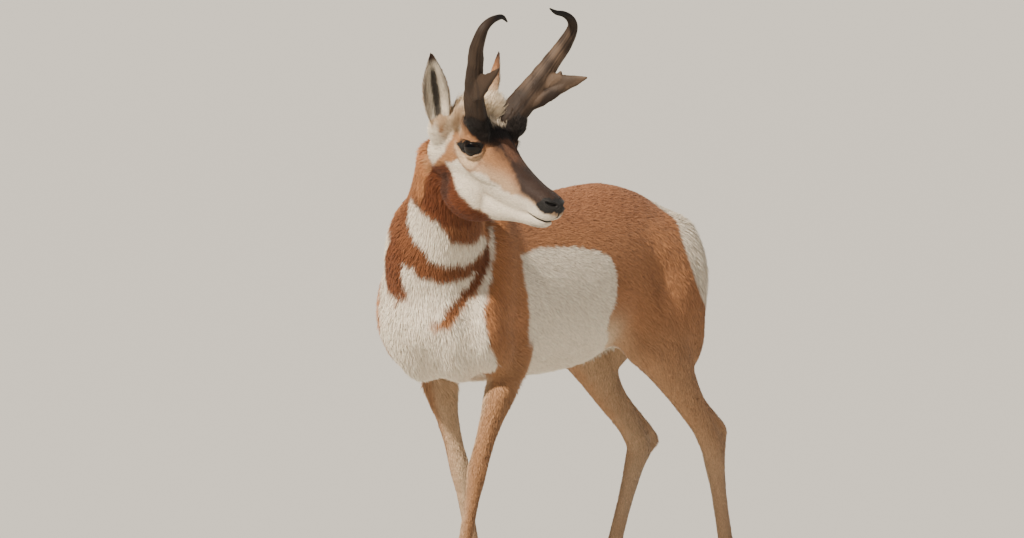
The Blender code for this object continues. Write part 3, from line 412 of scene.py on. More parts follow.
# The horns, in mm: towards the nose, outwards, up, half depth fore and aft, half thickness
hornShape = dict(
    beam=[
        (81, 45, 90, 28, 18.5), (85, 51.5, 108, 28.5, 19), (90.5, 73, 143, 27, 17.5), (98, 94.5, 182, 23, 16),
        (106, 113.5, 223, 17.8, 14.5), (113, 127.5, 254, 15, 13), (120, 132.5, 282, 11.8, 11),
        (122.5, 129, 298.5, 9.6, 9.2), (122.5, 116, 310.5, 7.8, 7.6), (121, 98, 317.5, 6.2, 6),
        (118.5, 78, 320, 4.8, 4.6)],
    lift=dict(left=0.0010, right=-0.0085),
    tip=dict(left=(118, 56, 329, 1.6, 1.6), right=(120, 62, 304, 1.6, 1.6)),
    prong=[
        (100, 93, 173, 27, 9), (116.5, 102, 178.5, 26.5, 9.6), (133, 111.5, 186.5, 20, 8.2),
        (149.5, 120.5, 196.5, 13.2, 6.4), (166, 128, 208.5, 8, 4.6), (179.5, 133.5, 220.5, 1.8, 1.8)],
    prongLift=dict(left=-0.0100, right=0.0115),
    web=[   # under the left prong
        (104, 66, 123, 4, 4), (113, 79, 140, 10.5, 7.5), (127, 96, 160, 11.2, 8), (140, 110, 179, 9, 6.2),
        (149, 119, 192, 3.6, 3.4)],
    turn=0.36, knob=((126, 114, 192), (131, 114, 210), (4.0, 5.2)),
)


def headRows(rows, side, steps):
    rows = catmull(rows, steps)
    rows[:, 1] *= bothSides[side]
    return onHead(*rows[:, :3].T), rows[:, 3], rows[:, 4]


def hornRows(side):
    rows = mm(*hornShape["beam"], hornShape["tip"][side])
    rows[:-1, 2] += hornShape["lift"][side] * (np.arange(len(rows) - 1) / (len(rows) - 1)) ** 3
    return headRows(rows, side, 8)


def prongRows(side, form):
    rows = mm(*hornShape[form])
    rows[:, 2] += (form == "prong") * hornShape["prongLift"][side] * (np.arange(len(rows)) / (len(rows) - 1)) ** 2
    return headRows(rows, side, 6)


def hornAway(points, side):
    # 1 on the surface of the horn's lower half, less inside it
    rows, deep, thick = (part[:32] for part in hornRows(side))
    away = np.full(len(points), 9.0)
    for i in np.nonzero(np.linalg.norm(points - rows[6], axis=1) < 0.12)[0]:
        gap = np.linalg.norm(rows - points[i], axis=1)
        k = np.argmin(gap)
        away[i] = gap[k] / (0.55 * deep[k] + 0.45 * thick[k])
    return away


# Angles in degrees from the eye's axis, and heights in metres over the eyeball
lids = dict(above=19, below=23, corners=36, cornerShape=2.2, rim=0.0009, swell=0.0034, fold=0.0012, foldAt=0.42,
            hidden=-0.003, blendFrom=0.30, blendTo=0.85)


def lidOpening(turn):
    middle = np.where(np.sin(turn) > 0, lids["above"], lids["below"])
    return np.radians(middle + lids["corners"] * np.abs(np.cos(turn)) ** lids["cornerShape"])


# The mouth's level by distance to the nose, and each nostril as the middle, half length and half height
muzzle = dict(
    mouth=[(0.220, -0.0370), (0.229, -0.0380), (0.241, -0.0395), (0.254, -0.0420), (0.263, -0.0432), (0.290, -0.0440)],
    mouthFrom=0.224, mouthDepth=0.0030, lipSwell=0.0008,
    nostril=(0.2755, 0.0165, -0.0075), nostrilLong=0.0112, nostrilTall=0.0046, nostrilDepth=0.0085, nostrilRim=0.0010,
)


def nostrilPlace(points, l):
    # 1 at the nostril's edge, less inside it, and the way it opens
    a, b, c = muzzle["nostril"]
    along = unit(headForward * 0.62 - headLeft * l * 0.70)
    opens = unit(headForward * 0.70 + headLeft * l * 0.62)
    away = points - onHead(a, b * l, c)
    p = away @ along / muzzle["nostrilLong"]
    q = (away @ headUp - 0.0022 * np.clip(-p, 0, 1.5) ** 2) / muzzle["nostrilTall"]
    return np.where(np.abs(away @ opens) < 0.016, np.hypot(p, q), 9.0), opens


def mouthPlace(points):
    # height over the line of the mouth, and how much of a mouth there is
    f, l, u = headPlace(points)
    path = np.array(muzzle["mouth"])
    share = smooth(muzzle["mouthFrom"], muzzle["mouthFrom"] + 0.008, f) * (np.abs(l) < 0.05)
    return u - np.interp(f, path[:, 0], path[:, 1]), share


def finer(mesh, chosen):
    # halves the edges between the chosen vertices
    bm = bmesh.new()
    bm.from_mesh(mesh)
    bm.verts.ensure_lookup_table()
    edges = [e for e in bm.edges if chosen[e.verts[0].index] and chosen[e.verts[1].index]]
    bmesh.ops.subdivide_edges(bm, edges=edges, cuts=1, use_grid_fill=True, smooth=0.0)
    bm.to_mesh(mesh)
    bm.free()
    mesh.update()


def settled(co, tree):
    # moves the head's points onto the fine head, less and less towards the neck
    f, l, u = headPlace(co)
    share = smooth(0.055, 0.085, f + 0.35 * np.maximum(u - 0.02, 0)) * (np.abs(l) < 0.11) * (u > -0.12) * (u < 0.16)
    for i in np.nonzero(share > 0)[0]:
        place, _, _, gap = tree.find_nearest(tuple(co[i]))
        if gap < 0.007:
            co[i] += (np.array(place) - co[i]) * share[i]
    return co


def carved(co, normals):
    # the lids round each eyeball, the nostrils and the mouth
    radius = head["eyeRadius"]
    for l in bothSides.values():
        theta, turn, r = eyePlace(co, l)
        near = (theta < 1.35) & (r < radius + 0.020) & (r > radius * 0.4)
        opening = lidOpening(turn)
        theta = np.where(near & (np.abs(theta - opening) < 0.020), opening, theta)
        past = theta - opening
        lid = lids["rim"] + (lids["swell"] - lids["rim"]) * smooth(0.0, 0.16, past)
        lid = lid - lids["fold"] * bump(past - lids["foldAt"], 0.07)
        lid = np.where(past < -0.001, lids["hidden"], lid)
        share = smooth(lids["blendFrom"], lids["blendTo"], past)
        made = (radius + lid) * (1 - share) + np.maximum(r, radius + lids["swell"]) * share
        co[near] = (eyeFrame(l)[0] + eyeRays(theta, turn, l) * made[:, None])[near]
        place, opens = nostrilPlace(co, l)
        sink = smooth(1.20, 0.50, place) * muzzle["nostrilDepth"]
        co = co + np.outer(bump(place - 1.45, 0.28) * muzzle["nostrilRim"] - sink, opens)
    over, share = mouthPlace(co)
    groove = -muzzle["mouthDepth"] * bump(over, 0.0015)
    lips = muzzle["lipSwell"] * bump(np.abs(over) - 0.0050, 0.0028)
    return co + normals * ((groove + lips) * share)[:, None]


def nearEyes(co, reach):
    return np.any([np.linalg.norm(co - eyeFrame(l)[0], axis=1) < reach for l in bothSides.values()], axis=0)


def buildSkin():
    pieces = [linked(name + "Copy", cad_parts[name].data.copy())
              for name in fleshNodes if not name.startswith(("head", "ear_"))]
    skin = fused(joined("skin", pieces + headForms()), *skinMake["first"])
    report("first skin, %d vertices" % len(skin.data.vertices))
    fine = fused(joined("fineHead", headForms()), *skinMake["fineHead"])
    tree = BVHTree.FromPolygons([tuple(v) for v in coordinates(fine.data)],
                                [tuple(p.vertices) for p in fine.data.polygons])
    mesh = skin.data
    for step in ("head", "muzzle", "lips"):
        co = coordinates(mesh)
        f, l, u = headPlace(co)
        over, share = mouthPlace(co)
        finer(mesh, dict(
            head=(f > 0.0) & (u > -0.10) & (u < 0.15) & (np.abs(l) < 0.11),
            muzzle=((f > 0.205) & (u < 0.03)) | nearEyes(co, 0.034),
            lips=((share > 0) & (np.abs(over) < 0.007)) | (f > 0.258) & (u > -0.024) & (u < 0.012)
            | nearEyes(co, 0.0285))[step])
        co = settled(coordinates(mesh), tree)
        setCoordinates(mesh, co)
    setCoordinates(mesh, carved(co, vertexNormals(mesh)))
    bpy.data.objects.remove(fine)
    return joined("skin", [skin, earForm(1), earForm(-1)])


skin = buildSkin()
report("skin, %d vertices, %d triangles" % (len(skin.data.vertices), len(triangleCorners(skin.data))))


def labelled(points):
    # which node each point of the skin belongs to
    verts, faces, owner = [], [], []
    for number, name in enumerate(fleshNodes):
        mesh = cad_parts[name].data
        start = len(verts)
        verts += [tuple(v) for v in coordinates(mesh)]
        faces += [[start + i for i in polygon.vertices] for polygon in mesh.polygons]
        owner += [number] * len(mesh.polygons)
    tree = BVHTree.FromPolygons(verts, faces)
    return np.array([owner[tree.find_nearest(tuple(p))[2]] for p in points])


def places(points, label):
    # names of the nodes, then behind the breastbone, left and up on the trunk, up and round the neck, and
    # forward, left and up on the head
    return np.array(fleshNodes)[label], *trunkPlace(points), *neckPlace(points), *headPlace(points)


waveRandom = np.random.default_rng(5)
waveTurns = unit(waveRandom.normal(size=(9, 3)))
wavePhases = waveRandom.uniform(0, 2 * math.pi, 9)
waveScales = waveRandom.uniform(0.7, 1.5, 9)


def wander(points, size, first=0):
    # smooth wandering numbers, mostly within -1 and 1, that change over about that many metres
    chosen = slice(first, first + 5)
    phase = points @ (waveTurns[chosen] * waveScales[chosen, None]).T * (2 * math.pi / size) + wavePhases[chosen]
    return np.sin(phase).sum(1) / math.sqrt(5)


def fromLine(x, y, line):
    # distance to a line of points
    best = np.full(len(x), 1e9)
    for (ax, ay), (bx, by) in zip(line[:-1], line[1:]):
        ex, ey = bx - ax, by - ay
        t = np.clip(((x - ax) * ex + (y - ay) * ey) / max(ex * ex + ey * ey, 1e-12), 0, 1)
        best = np.minimum(best, np.hypot(x - ax - ex * t, y - ay - ey * t))
    return best


def insideOutline(x, y, outline):
    # distance inside a closed outline, negative outside
    outline = np.vstack([outline, outline[:1]])
    inside = np.zeros(len(x), bool)
    for (ax, ay), (bx, by) in zip(outline[:-1], outline[1:]):
        inside ^= ((ay > y) != (by > y)) & (x < ax + (bx - ax) * (y - ay) / ((by - ay) if by != ay else 1e-12))
    best = fromLine(x, y, outline)
    return np.where(inside, best, -best)


# The coat's colours, and where each marking lies
coatColours = dict(
    tan=(0.420, 0.188, 0.080), backTan=(0.360, 0.152, 0.068), neckTan=(0.450, 0.188, 0.072),
    # The forelegs' tan is darkened as painted shade under the chest, and the hind legs' and shanks' tans are lightened
    # as painted sunlight, over the legs' own tan
    faceTan=(0.440, 0.215, 0.095), foreTan=(0.400, 0.200, 0.090), hindTan=(0.520, 0.290, 0.150),
    shankTanLit=(0.600, 0.380, 0.220), cream=(0.700, 0.520, 0.340), white=(0.860, 0.755, 0.610),
    band=(0.180, 0.058, 0.020), rust=(0.150, 0.040, 0.011), dark=(0.045, 0.018, 0.010), black=(0.016, 0.011, 0.009),
    blaze=(0.040, 0.020, 0.013), bridge=(0.190, 0.085, 0.045), puff=(0.840, 0.700, 0.520),
    crown=(0.520, 0.370, 0.230), noseSkin=(0.012, 0.010, 0.009), lash=(0.008, 0.006, 0.005),
    lip=(0.030, 0.020, 0.014),
)

# Outlines on the neck: degrees round it from the throat to the animal's left, stations up it
neckMarks = dict(
    crescent=[(-86, 3.75), (-72, 3.46), (-60, 3.20), (-42, 2.95), (-24, 2.78), (-5, 2.57), (11, 2.43), (26, 2.38),
              (41, 2.34), (60, 2.24), (78, 2.22), (98, 2.05), (116, 1.95), (102, 2.45), (86, 2.75), (57, 2.83),
              (35, 2.92), (19, 3.08), (4, 3.38), (-14, 3.73), (-38, 3.80), (-64, 3.87)],
    chestTop=[(-180, 1.95), (-58, 2.15), (-28, 2.06), (-15, 2.11), (-3, 1.97), (10, 1.93), (32, 1.77), (50, 1.70),
              (66, 1.64), (104, 1.78), (180, 1.78)],
    rightHook=[(-57, 2.40), (-62, 1.60), (-55, 1.16), (-45, 1.10), (-32, 1.20), (-21, 1.27), (-9, 1.30), (-12, 1.50),
               (-21, 1.66), (-24, 1.86), (-28, 2.20)],
    leftHook=[(60, 1.90), (65, 1.60), (43, 1.38), (28, 1.28), (10, 1.02), (24, 0.98), (42, 1.06), (61, 1.16),
              (81, 1.36), (98, 1.50), (106, 1.95)],
)
neckRound, neckTall = 0.10, 0.052     # metres for a radian round the neck, and for a station up it

# Outlines on the trunk's sides in mm: behind the breastbone, height. The shoulder's front edge: height, behind.
# The forelegs' tops and each pair of legs' middles: to the left of the centre line, and the tops also behind.
trunkMarks = dict(
    legTops=mm((98, 175), (-86, 236)), legMiddles=dict(fore=(0.090, -0.060), hind=(0.104, -0.090)),
    shoulderFront=mm((490, 135), (530, 118), (554, 98), (584, 70), (624, 55), (660, 56), (690, 66), (725, 85),
                     (760, 103), (796, 125), (830, 150)),
    flank=mm((212, 752), (260, 764), (318, 768), (400, 765), (470, 757), (503, 741), (519, 714), (517, 680),
             (508, 654), (498, 630), (502, 600), (560, 560), (640, 500), (620, 440), (150, 440), (190, 530),
             (213, 575), (224, 611), (212, 663), (206, 714)),
    rump=mm((742, 862), (772, 812), (762, 757), (780, 707), (800, 668), (832, 645), (960, 632), (960, 900),
            (780, 900)),
)

# Outlines on the side of the head in mm: towards the nose, up
headMarks = dict(
    cheek=mm((36, 6), (45, 9), (62, 20), (87, 8), (102, 5), (127, 12), (141, 7), (155, 2), (171, -10), (189, -12),
             (204, -8), (221, -10), (249, -16), (259, -23), (270, -26), (300, -26), (300, -90), (150, -100),
             (140, -66), (114, -59), (82, -40), (59, -23)),
    underEye=mm((47, 50), (52, 30), (70, 17), (87, 11), (102, 8), (110, 13), (117, 31), (118, 50), (98, 36), (67, 38)),
    eyeSkin=mm((50, 49), (66, 55), (80, 60), (96, 65), (107, 67), (115, 62), (115, 55), (110, 49), (104, 43),
               (97, 40), (84, 37.5), (67, 39), (57, 44)),
    brow=mm((90, 88), (100, 76), (108, 70), (116, 71), (124, 76), (128, 90), (130, 120), (66, 150), (66, 100)),
    nose=mm((247, -14), (256, -6), (266, 3), (278, 5), (320, 4), (320, -21), (282, -21), (270, -24.5), (259, -22)),
    blaze=mm((80, 120), (112, 62), (124, 62), (141, 54), (170, 34), (194, 13), (209, -3), (237, -12), (262, -24),
             (320, -24), (320, 90), (160, 120)),
    belowEar=mm((-6, 82), (14, 80), (24, 60), (30, 24), (12, 2), (-6, -19), (-34, -18), (-36, 16), (-26, 60)),
    throatPatch=mm((-10, -14), (18, -3), (38, 4), (59, -23), (82, -40), (114, -59), (150, -67), (140, -120),
                   (0, -130), (-36, -95), (-27, -50)),
    temple=mm((36, 100), (39, 82), (35, 64), (29, 48), (24, 34)),
    tearLine=mm((52, 34), (60, 25), (72, 16), (87, 10), (102, 7), (109, 12), (116, 30)),
)


# How ragged the markings' edges are in metres: by the wider waves, by the finer ones, and the finer ones' size
ragged = dict(waves=0.030, body=(0.0020, 0.0010, 0.011), face=(0.0016, 0.0010, 0.007))


def over(base, mask, colour):
    return base * (1 - mask[:, None]) + np.array(colour) * mask[:, None]


def brush(count, colours, ground):
    # a layer of one colour, and the way to paint on it: a share at each point and the name of a colour
    layer = np.tile(np.array(colours[ground]), (count, 1))

    def paint(share, name):
        layer[:] = over(layer, share, colours[name])

    return layer, paint


def marked(inside, soft=0.004):
    # the share of a marking at this distance inside its outline
    return smooth(-soft, soft, inside)


def coatColour(points, label):
    names, s, u, z, t, angle, f, l, up = places(points, label)
    onHeadNode, onNeck = names == "head", names == "neck"
    onBody = (names == "torso") | onNeck
    isFore, isHind = (np.char.startswith(names, end) for end in ("fore", "hind"))
    small = wander(points, ragged["waves"])
    wide, narrow, size = ragged["body"]
    jag = wide * small + narrow * wander(points, size, 2)
    wide, narrow, size = ragged["face"]
    fine = wide * small + narrow * wander(points, size, 1)
    colour, paint = brush(len(points), coatColours, "tan")
    paint(smooth(0.74, 0.86, z + 0.01 * wander(points, 0.16, 4)), "backTan")
    paint(smooth(0.0, 1.2, t) * (s < 0.25), "neckTan")
    # painted light: darker tan on the forelegs and the low front of the trunk as painted shade, paler tan on the hind
    # legs and shanks as painted sunlight
    paint(smooth(0.62, 0.50, z) * (s < 0.5) * (isFore | onBody), "foreTan")
    paint(smooth(0.66, 0.46, z) * (s > 0.5) * (isHind | onBody), "hindTan")
    paint(smooth(0.44, 0.30, z) * isHind, "shankTanLit")

    # the rump and the flank
    flank = marked(insideOutline(s, z, trunkMarks["flank"]) + jag) * (~onHeadNode) * (~isFore) * (~isHind)
    midline = smooth(0.010, 0.020, np.abs(u) + 0.004 * small) + smooth(0.80, 0.83, s)
    rump = marked(insideOutline(s, z, trunkMarks["rump"]) + jag) * np.minimum(midline, 1) * (~isFore) * (s > 0.7)
    under = smooth(0.090, 0.070, np.abs(u) + 0.3 * jag) * smooth(0.600, 0.575, z + jag) * onBody
    legTop = np.zeros(len(points))
    for legU, legS in trunkMarks["legTops"]:
        across, along = (u - legU) * np.sign(legU), s - legS
        outerTop = smooth(0.080, 0.060, np.hypot(across * 0.8, along)) * smooth(0.600, 0.570, z)
        core = smooth(0.085, 0.065, np.hypot(across, along)) * smooth(0.530, 0.510, z + jag) * (~onHeadNode)
        legTop = np.maximum(legTop, np.maximum(outerTop * smooth(-0.038, -0.022, across + jag), core))
        paint(core * smooth(0.006, -0.020, across) * 0.6, "cream")
    white = np.maximum(np.maximum(flank, rump), under) * (1 - legTop)

    # the chest, inside the shoulders' front edges
    shoulder, top = trunkMarks["shoulderFront"], np.array(neckMarks["chestTop"])
    front = np.interp(z, shoulder[:, 0], shoulder[:, 1]) - s + jag
    below = (np.interp(np.degrees(angle), top[:, 0], top[:, 1]) - t) * neckTall + jag
    chest = marked(front) * marked(below) * onBody * (1 - legTop * smooth(0.54, 0.51, z))

    def onNeckPlane(name):
        outline = [(math.radians(a) * neckRound, station * neckTall) for a, station in neckMarks[name]]
        return marked(insideOutline(angle * neckRound, t * neckTall, outline) + jag)

    hooks = np.maximum(onNeckPlane("rightHook"), onNeckPlane("leftHook"))
    brown = smooth(1.0, 1.6, t) * smooth(4.6, 3.6, t) * smooth(1.9, 1.2, np.abs(angle + 0.1)) * onBody
    paint(brown * 0.85, "band")
    paint(hooks * onBody * smooth(0.9, 1.3, t), "band")
    throat = smooth(3.6, 4.2, t) * smooth(-1.10, -0.86, angle + 0.5 * jag) * smooth(1.25, 0.95, angle) * onNeck
    paint(throat * 0.9, "rust")
    light = smooth(0.5, 0.1, np.abs(angle - 0.35)) * smooth(3.3, 3.8, t) * smooth(5.2, 4.4, t) * onNeck
    paint(light * 0.75, "tan")
    white = np.maximum(white, np.maximum(chest * (1 - hooks), onNeckPlane("crescent") * onBody))

    # the legs: paler inside, and down the front of the thigh
    middles = (np.where(u > 0, *trunkMarks["legMiddles"][end]) for end in ("fore", "hind"))
    inner = (np.where(isFore, *middles) - u) * np.where(u > 0, 1, -1)
    pale = smooth(-0.004, 0.020, inner + 0.001 * small) * (isFore | isHind) * smooth(0.10, 0.30, z)
    paint(pale * np.where(isFore, 0.75, 0.55), "cream")
    between = smooth(0.078, 0.050, np.abs(u) + jag) * (s > 0.55) * smooth(0.50, 0.60, z) * (z < 0.67)
    paint(between * (names == "torso"), "white")
    thighFront = smooth(0.100, 0.0, s - np.interp(z, [0.40, 0.50, 0.62], [0.66, 0.57, 0.51]) + 0.5 * jag)
    paint(thighFront * (s > 0.48) * smooth(0.66, 0.58, z) * onBody * 0.9, "cream")
    paint(white * (~onHeadNode), "white")
    # painted shade: a faint darkening down the front and back of the lower legs, for the shade in the grooves beside
    # the tendons
    paint(bump(inner, 0.010) * (isFore | isHind) * smooth(0.36, 0.30, z) * smooth(0.06, 0.12, z) * 0.10, "dark")

    # the head, the same on both sides
    aside = np.abs(l)
    outer = smooth(0.02, 0.03, aside)
    face, paintFace = brush(len(points), coatColours, "faceTan")

    def onFace(name, soft=0.0025):
        return marked(insideOutline(f, up, headMarks[name]) + fine, soft)

    paler = smooth(0.034, 0.004, up - np.interp(f, [0.09, 0.16, 0.24], [0.012, 0.002, -0.014])) * smooth(0.06, 0.09, f)
    paintFace(paler * 0.55, "cream")
    patch = onFace("throatPatch", 0.004)
    paintFace(patch, "rust")
    paintFace(patch * smooth(0.034, 0.010, np.hypot(f - 0.030, (up + 0.044) * 0.7) + 2 * fine) * 0.8, "dark")
    paintFace(onFace("cheek", 0.0045), "white")
    temple = smooth(0.0085, 0.0040, fromLine(f, up, headMarks["temple"]) + 1.5 * fine)
    paintFace(temple * outer * 0.85, "puff")
    paintFace(onFace("underEye", 0.005) * outer * (0.55 + 0.35 * smooth(0.105, 0.075, f)), "cream")
    paintFace(smooth(0.0046, 0.0006, fromLine(f, up, headMarks["tearLine"]) + 0.6 * fine) * outer * 0.42, "band")
    paintFace(onFace("belowEar", 0.004) * smooth(0.030, 0.044, aside + fine), "white")
    intoBlaze = insideOutline(f, up, headMarks["blaze"]) + fine
    paintFace(smooth(-0.016, 0.002, intoBlaze) * 0.6 * smooth(0.235, 0.205, f), "bridge")
    paintFace(smooth(-0.004, 0.007, intoBlaze), "blaze")
    bridge = smooth(0.0200, 0.0110, aside + fine) * smooth(0.190, 0.150, f + 2 * fine) * smooth(0.108, 0.120, f)
    paintFace(bridge * (up > 0.03) * 0.85, "bridge")
    paintFace(onFace("brow", 0.004), "black")
    crown = smooth(0.060, 0.078, up + fine) * smooth(0.080, 0.060, f + fine)
    paintFace(crown * smooth(0.036, 0.050, aside) * smooth(-0.020, 0.010, f) * 0.8, "crown")
    nape = smooth(0.036, 0.020, aside + fine) * smooth(0.030, 0.012, f + fine) * (up > 0)
    paintFace(nape * 0.6, "band")
    puff = smooth(0.072, 0.084, up + fine) * smooth(0.097, 0.088, f + fine) * smooth(0.062, 0.048, aside)
    paintFace(puff * smooth(0.012, 0.036, f + 2 * fine), "puff")
    paintFace(onFace("nose", 0.0018), "noseSkin")
    lipSplit = smooth(0.0030, 0.0014, aside) * smooth(0.268, 0.272, f) * smooth(-0.044, -0.040, up)
    paintFace(lipSplit * (up < -0.016), "noseSkin")
    height, mouthShare = mouthPlace(points)
    paintFace(smooth(0.0024, 0.0010, np.abs(height)) * mouthShare, "lip")
    paintFace(smooth(-0.010, -0.016, height) * smooth(0.225, 0.245, f) * 0.35, "blaze")
    paintFace(onFace("eyeSkin", 0.0012) * outer, "lash")
    for way in bothSides.values():
        theta, turn, r = eyePlace(points, way)
        paintFace(smooth(0.10, 0.05, theta - lidOpening(turn)) * (r < 0.03), "lash")
        paintFace(smooth(1.25, 0.9, nostrilPlace(points, way)[0]), "lash")
    colour[onHeadNode] = face[onHeadNode]

    for side, way in bothSides.items():
        chosen = names == "ear_" + side
        share, w, inside = earPlace(points[chosen], way)
        rough, across = small[chosen] * 0.04, np.abs(w)
        outside, paintOutside = brush(len(w), coatColours, "neckTan")
        paintOutside(smooth(0.88, 0.30, share + rough) * 0.9, "cream")
        rim = smooth(0.78, 0.98, across + rough) * smooth(0.45, 0.7, share)
        paintOutside(np.maximum(rim * 0.6, smooth(0.76, 0.92, share + rough)), "dark")
        within, paintWithin = brush(len(w), coatColours, "white")
        # painted shade: the middle of the cup inside the ear is painted black, where shade falls deep in it
        middle = smooth(0.46, 0.20, np.abs(w + 0.05) + rough) * smooth(0.04, 0.16, share) * smooth(0.84, 0.70, share)
        paintWithin(middle * 0.93, "black")
        paintWithin(np.maximum(smooth(0.84, 1.0, across) * 0.75, smooth(0.78, 0.93, share)), "dark")
        colour[chosen] = np.where(inside[:, None], within, outside)

    # what runs on from the head over the neck
    onTop = onNeck * (aside < 0.08)
    paint(marked(insideOutline(f, up, headMarks["throatPatch"]) + jag) * onTop * 0.9, "rust")
    paint(onFace("belowEar", 0.004) * onTop * smooth(0.030, 0.044, aside + fine), "white")
    paint(smooth(2.70, 2.90, np.abs(angle) + 4 * jag) * smooth(2.6, 3.4, t) * onNeck * 0.5, "band")
    return colour


# How the coat grows on each node: depth and hair length in metres, width, hairs to the square metre, and how far
# a hair's tip stands out for its length
coat = dict(
    torso=dict(depth=0.0038, length=0.0150, width=0.00115, density=272000, lift=0.15),
    neck=dict(depth=0.0050, length=0.0180, width=0.00120, density=290000, lift=0.22),
    head=dict(depth=0.0011, length=0.0058, width=0.00062, density=640000, lift=0.17),
    tail=dict(depth=0.0040, length=0.0260, width=0.00120, density=500000, lift=0.24),
    ear=dict(depth=0.0004, length=0.0052, width=0.00060, density=520000, lift=0.14),
    upper=dict(depth=0.0024, length=0.0105, width=0.00105, density=300000, lift=0.15),
    lower=dict(depth=0.0013, length=0.0070, width=0.00080, density=400000, lift=0.13),
)
coatKinds = list(coat["torso"])


def coatOf(name):
    return coat.get(name.split("_")[0]) or coat[name.split("_")[-1]]


def coatGrowth(points, label):
    # depth, length, width, density and lift at points of the skin, before they are evened out
    names, s, u, z, t, angle, f, l, up = places(points, label)
    onTorso, onNeck, onFace = (names == name for name in ("torso", "neck", "head"))
    grown = np.array([[coatOf(name)[kind] for kind in coatKinds] for name in fleshNodes])[label]

    def change(share, **values):
        for kind, value in values.items():
            column = grown[:, coatKinds.index(kind)]
            column += (value - column) * share

    chest = smooth(0.14, 0.04, s) * smooth(3.6, 2.6, t) * (onTorso | onNeck)
    change(chest, depth=0.0075, length=0.0200, width=0.00120, lift=0.30, density=330000)
    throat = smooth(1.9, 1.2, np.abs(angle)) * smooth(2.4, 3.0, t) * onNeck
    change(throat, depth=0.0065, length=0.0180, lift=0.28)
    rump = smooth(-0.002, 0.020, insideOutline(s, z, trunkMarks["rump"])) * smooth(0.70, 0.74, s)
    change(rump * (onTorso | onNeck), depth=0.0070, length=0.0240, lift=0.30, density=300000)
    belly = smooth(0.57, 0.54, z) * smooth(0.12, 0.20, s) * onTorso
    change(belly, length=0.0260, lift=0.26)
    thigh = smooth(0.60, 0.56, z) * smooth(0.5, 0.6, s) * onTorso
    change(thigh, depth=0.0030, length=0.0140, lift=0.20)
    change(smooth(0.15, 0.23, f) * onFace, depth=0.0006, length=0.0036, width=0.00050, density=1000000)
    back = smooth(0.07, 0.02, f) * smooth(0.02, -0.03, up) * onFace
    change(back, depth=0.0030, length=0.0130, width=0.00090, density=560000, lift=0.26)
    jaw = smooth(-0.002, 0.010, insideOutline(f, up, headMarks["throatPatch"])) * onFace
    change(jaw, depth=0.0030, length=0.0150, width=0.00090, density=600000, lift=0.30)
    change(smooth(0.06, 0.02, f) * onFace * (up > 0.0), length=0.0090, density=700000, width=0.00070)
    change(smooth(0.020, -0.010, f) * onFace * (up > 0.0), depth=0.0036, length=0.0150, width=0.00090, lift=0.25)
    puff = smooth(0.070, 0.086, up) * smooth(0.110, 0.096, f) * smooth(0.066, 0.050, np.abs(l)) * onFace
    change(puff, depth=0.0030, length=0.0250, width=0.00090, density=750000, lift=0.65)
    height, mouthShare = mouthPlace(points)
    for side, way in bothSides.items():
        theta, turn, r = eyePlace(points, way)
        bare = smooth(0.45, 0.12, theta - lidOpening(turn)) * (r < 0.035) * onFace
        change(bare, depth=0.0002, length=0.0026, density=1100000, lift=0.10)
        edge = np.maximum(smooth(2.2, 1.4, nostrilPlace(points, way)[0]),
                          smooth(0.006, 0.003, np.abs(height)) * mouthShare)
        change(edge * onFace, depth=0.0002, length=0.0020)
        collar = smooth(1.75, 1.25, hornAway(points, side)) * smooth(0.060, 0.080, up) * (1 - 0.6 * puff) * onFace
        change(collar, length=0.0170, width=0.00075, lift=0.40, density=850000)
        chosen = names == "ear_" + side
        share, w, inside = earPlace(points[chosen], way)
        wool = inside * smooth(0.18, 0.45, np.abs(w)) * smooth(0.95, 0.60, share)
        for kind, more in (("length", wool * 0.0095 - 0.0022 * smooth(0.80, 1.0, share)), ("width", wool * 0.0002),
                           ("lift", wool * 0.20)):
            grown[chosen, coatKinds.index(kind)] += more
    return grown


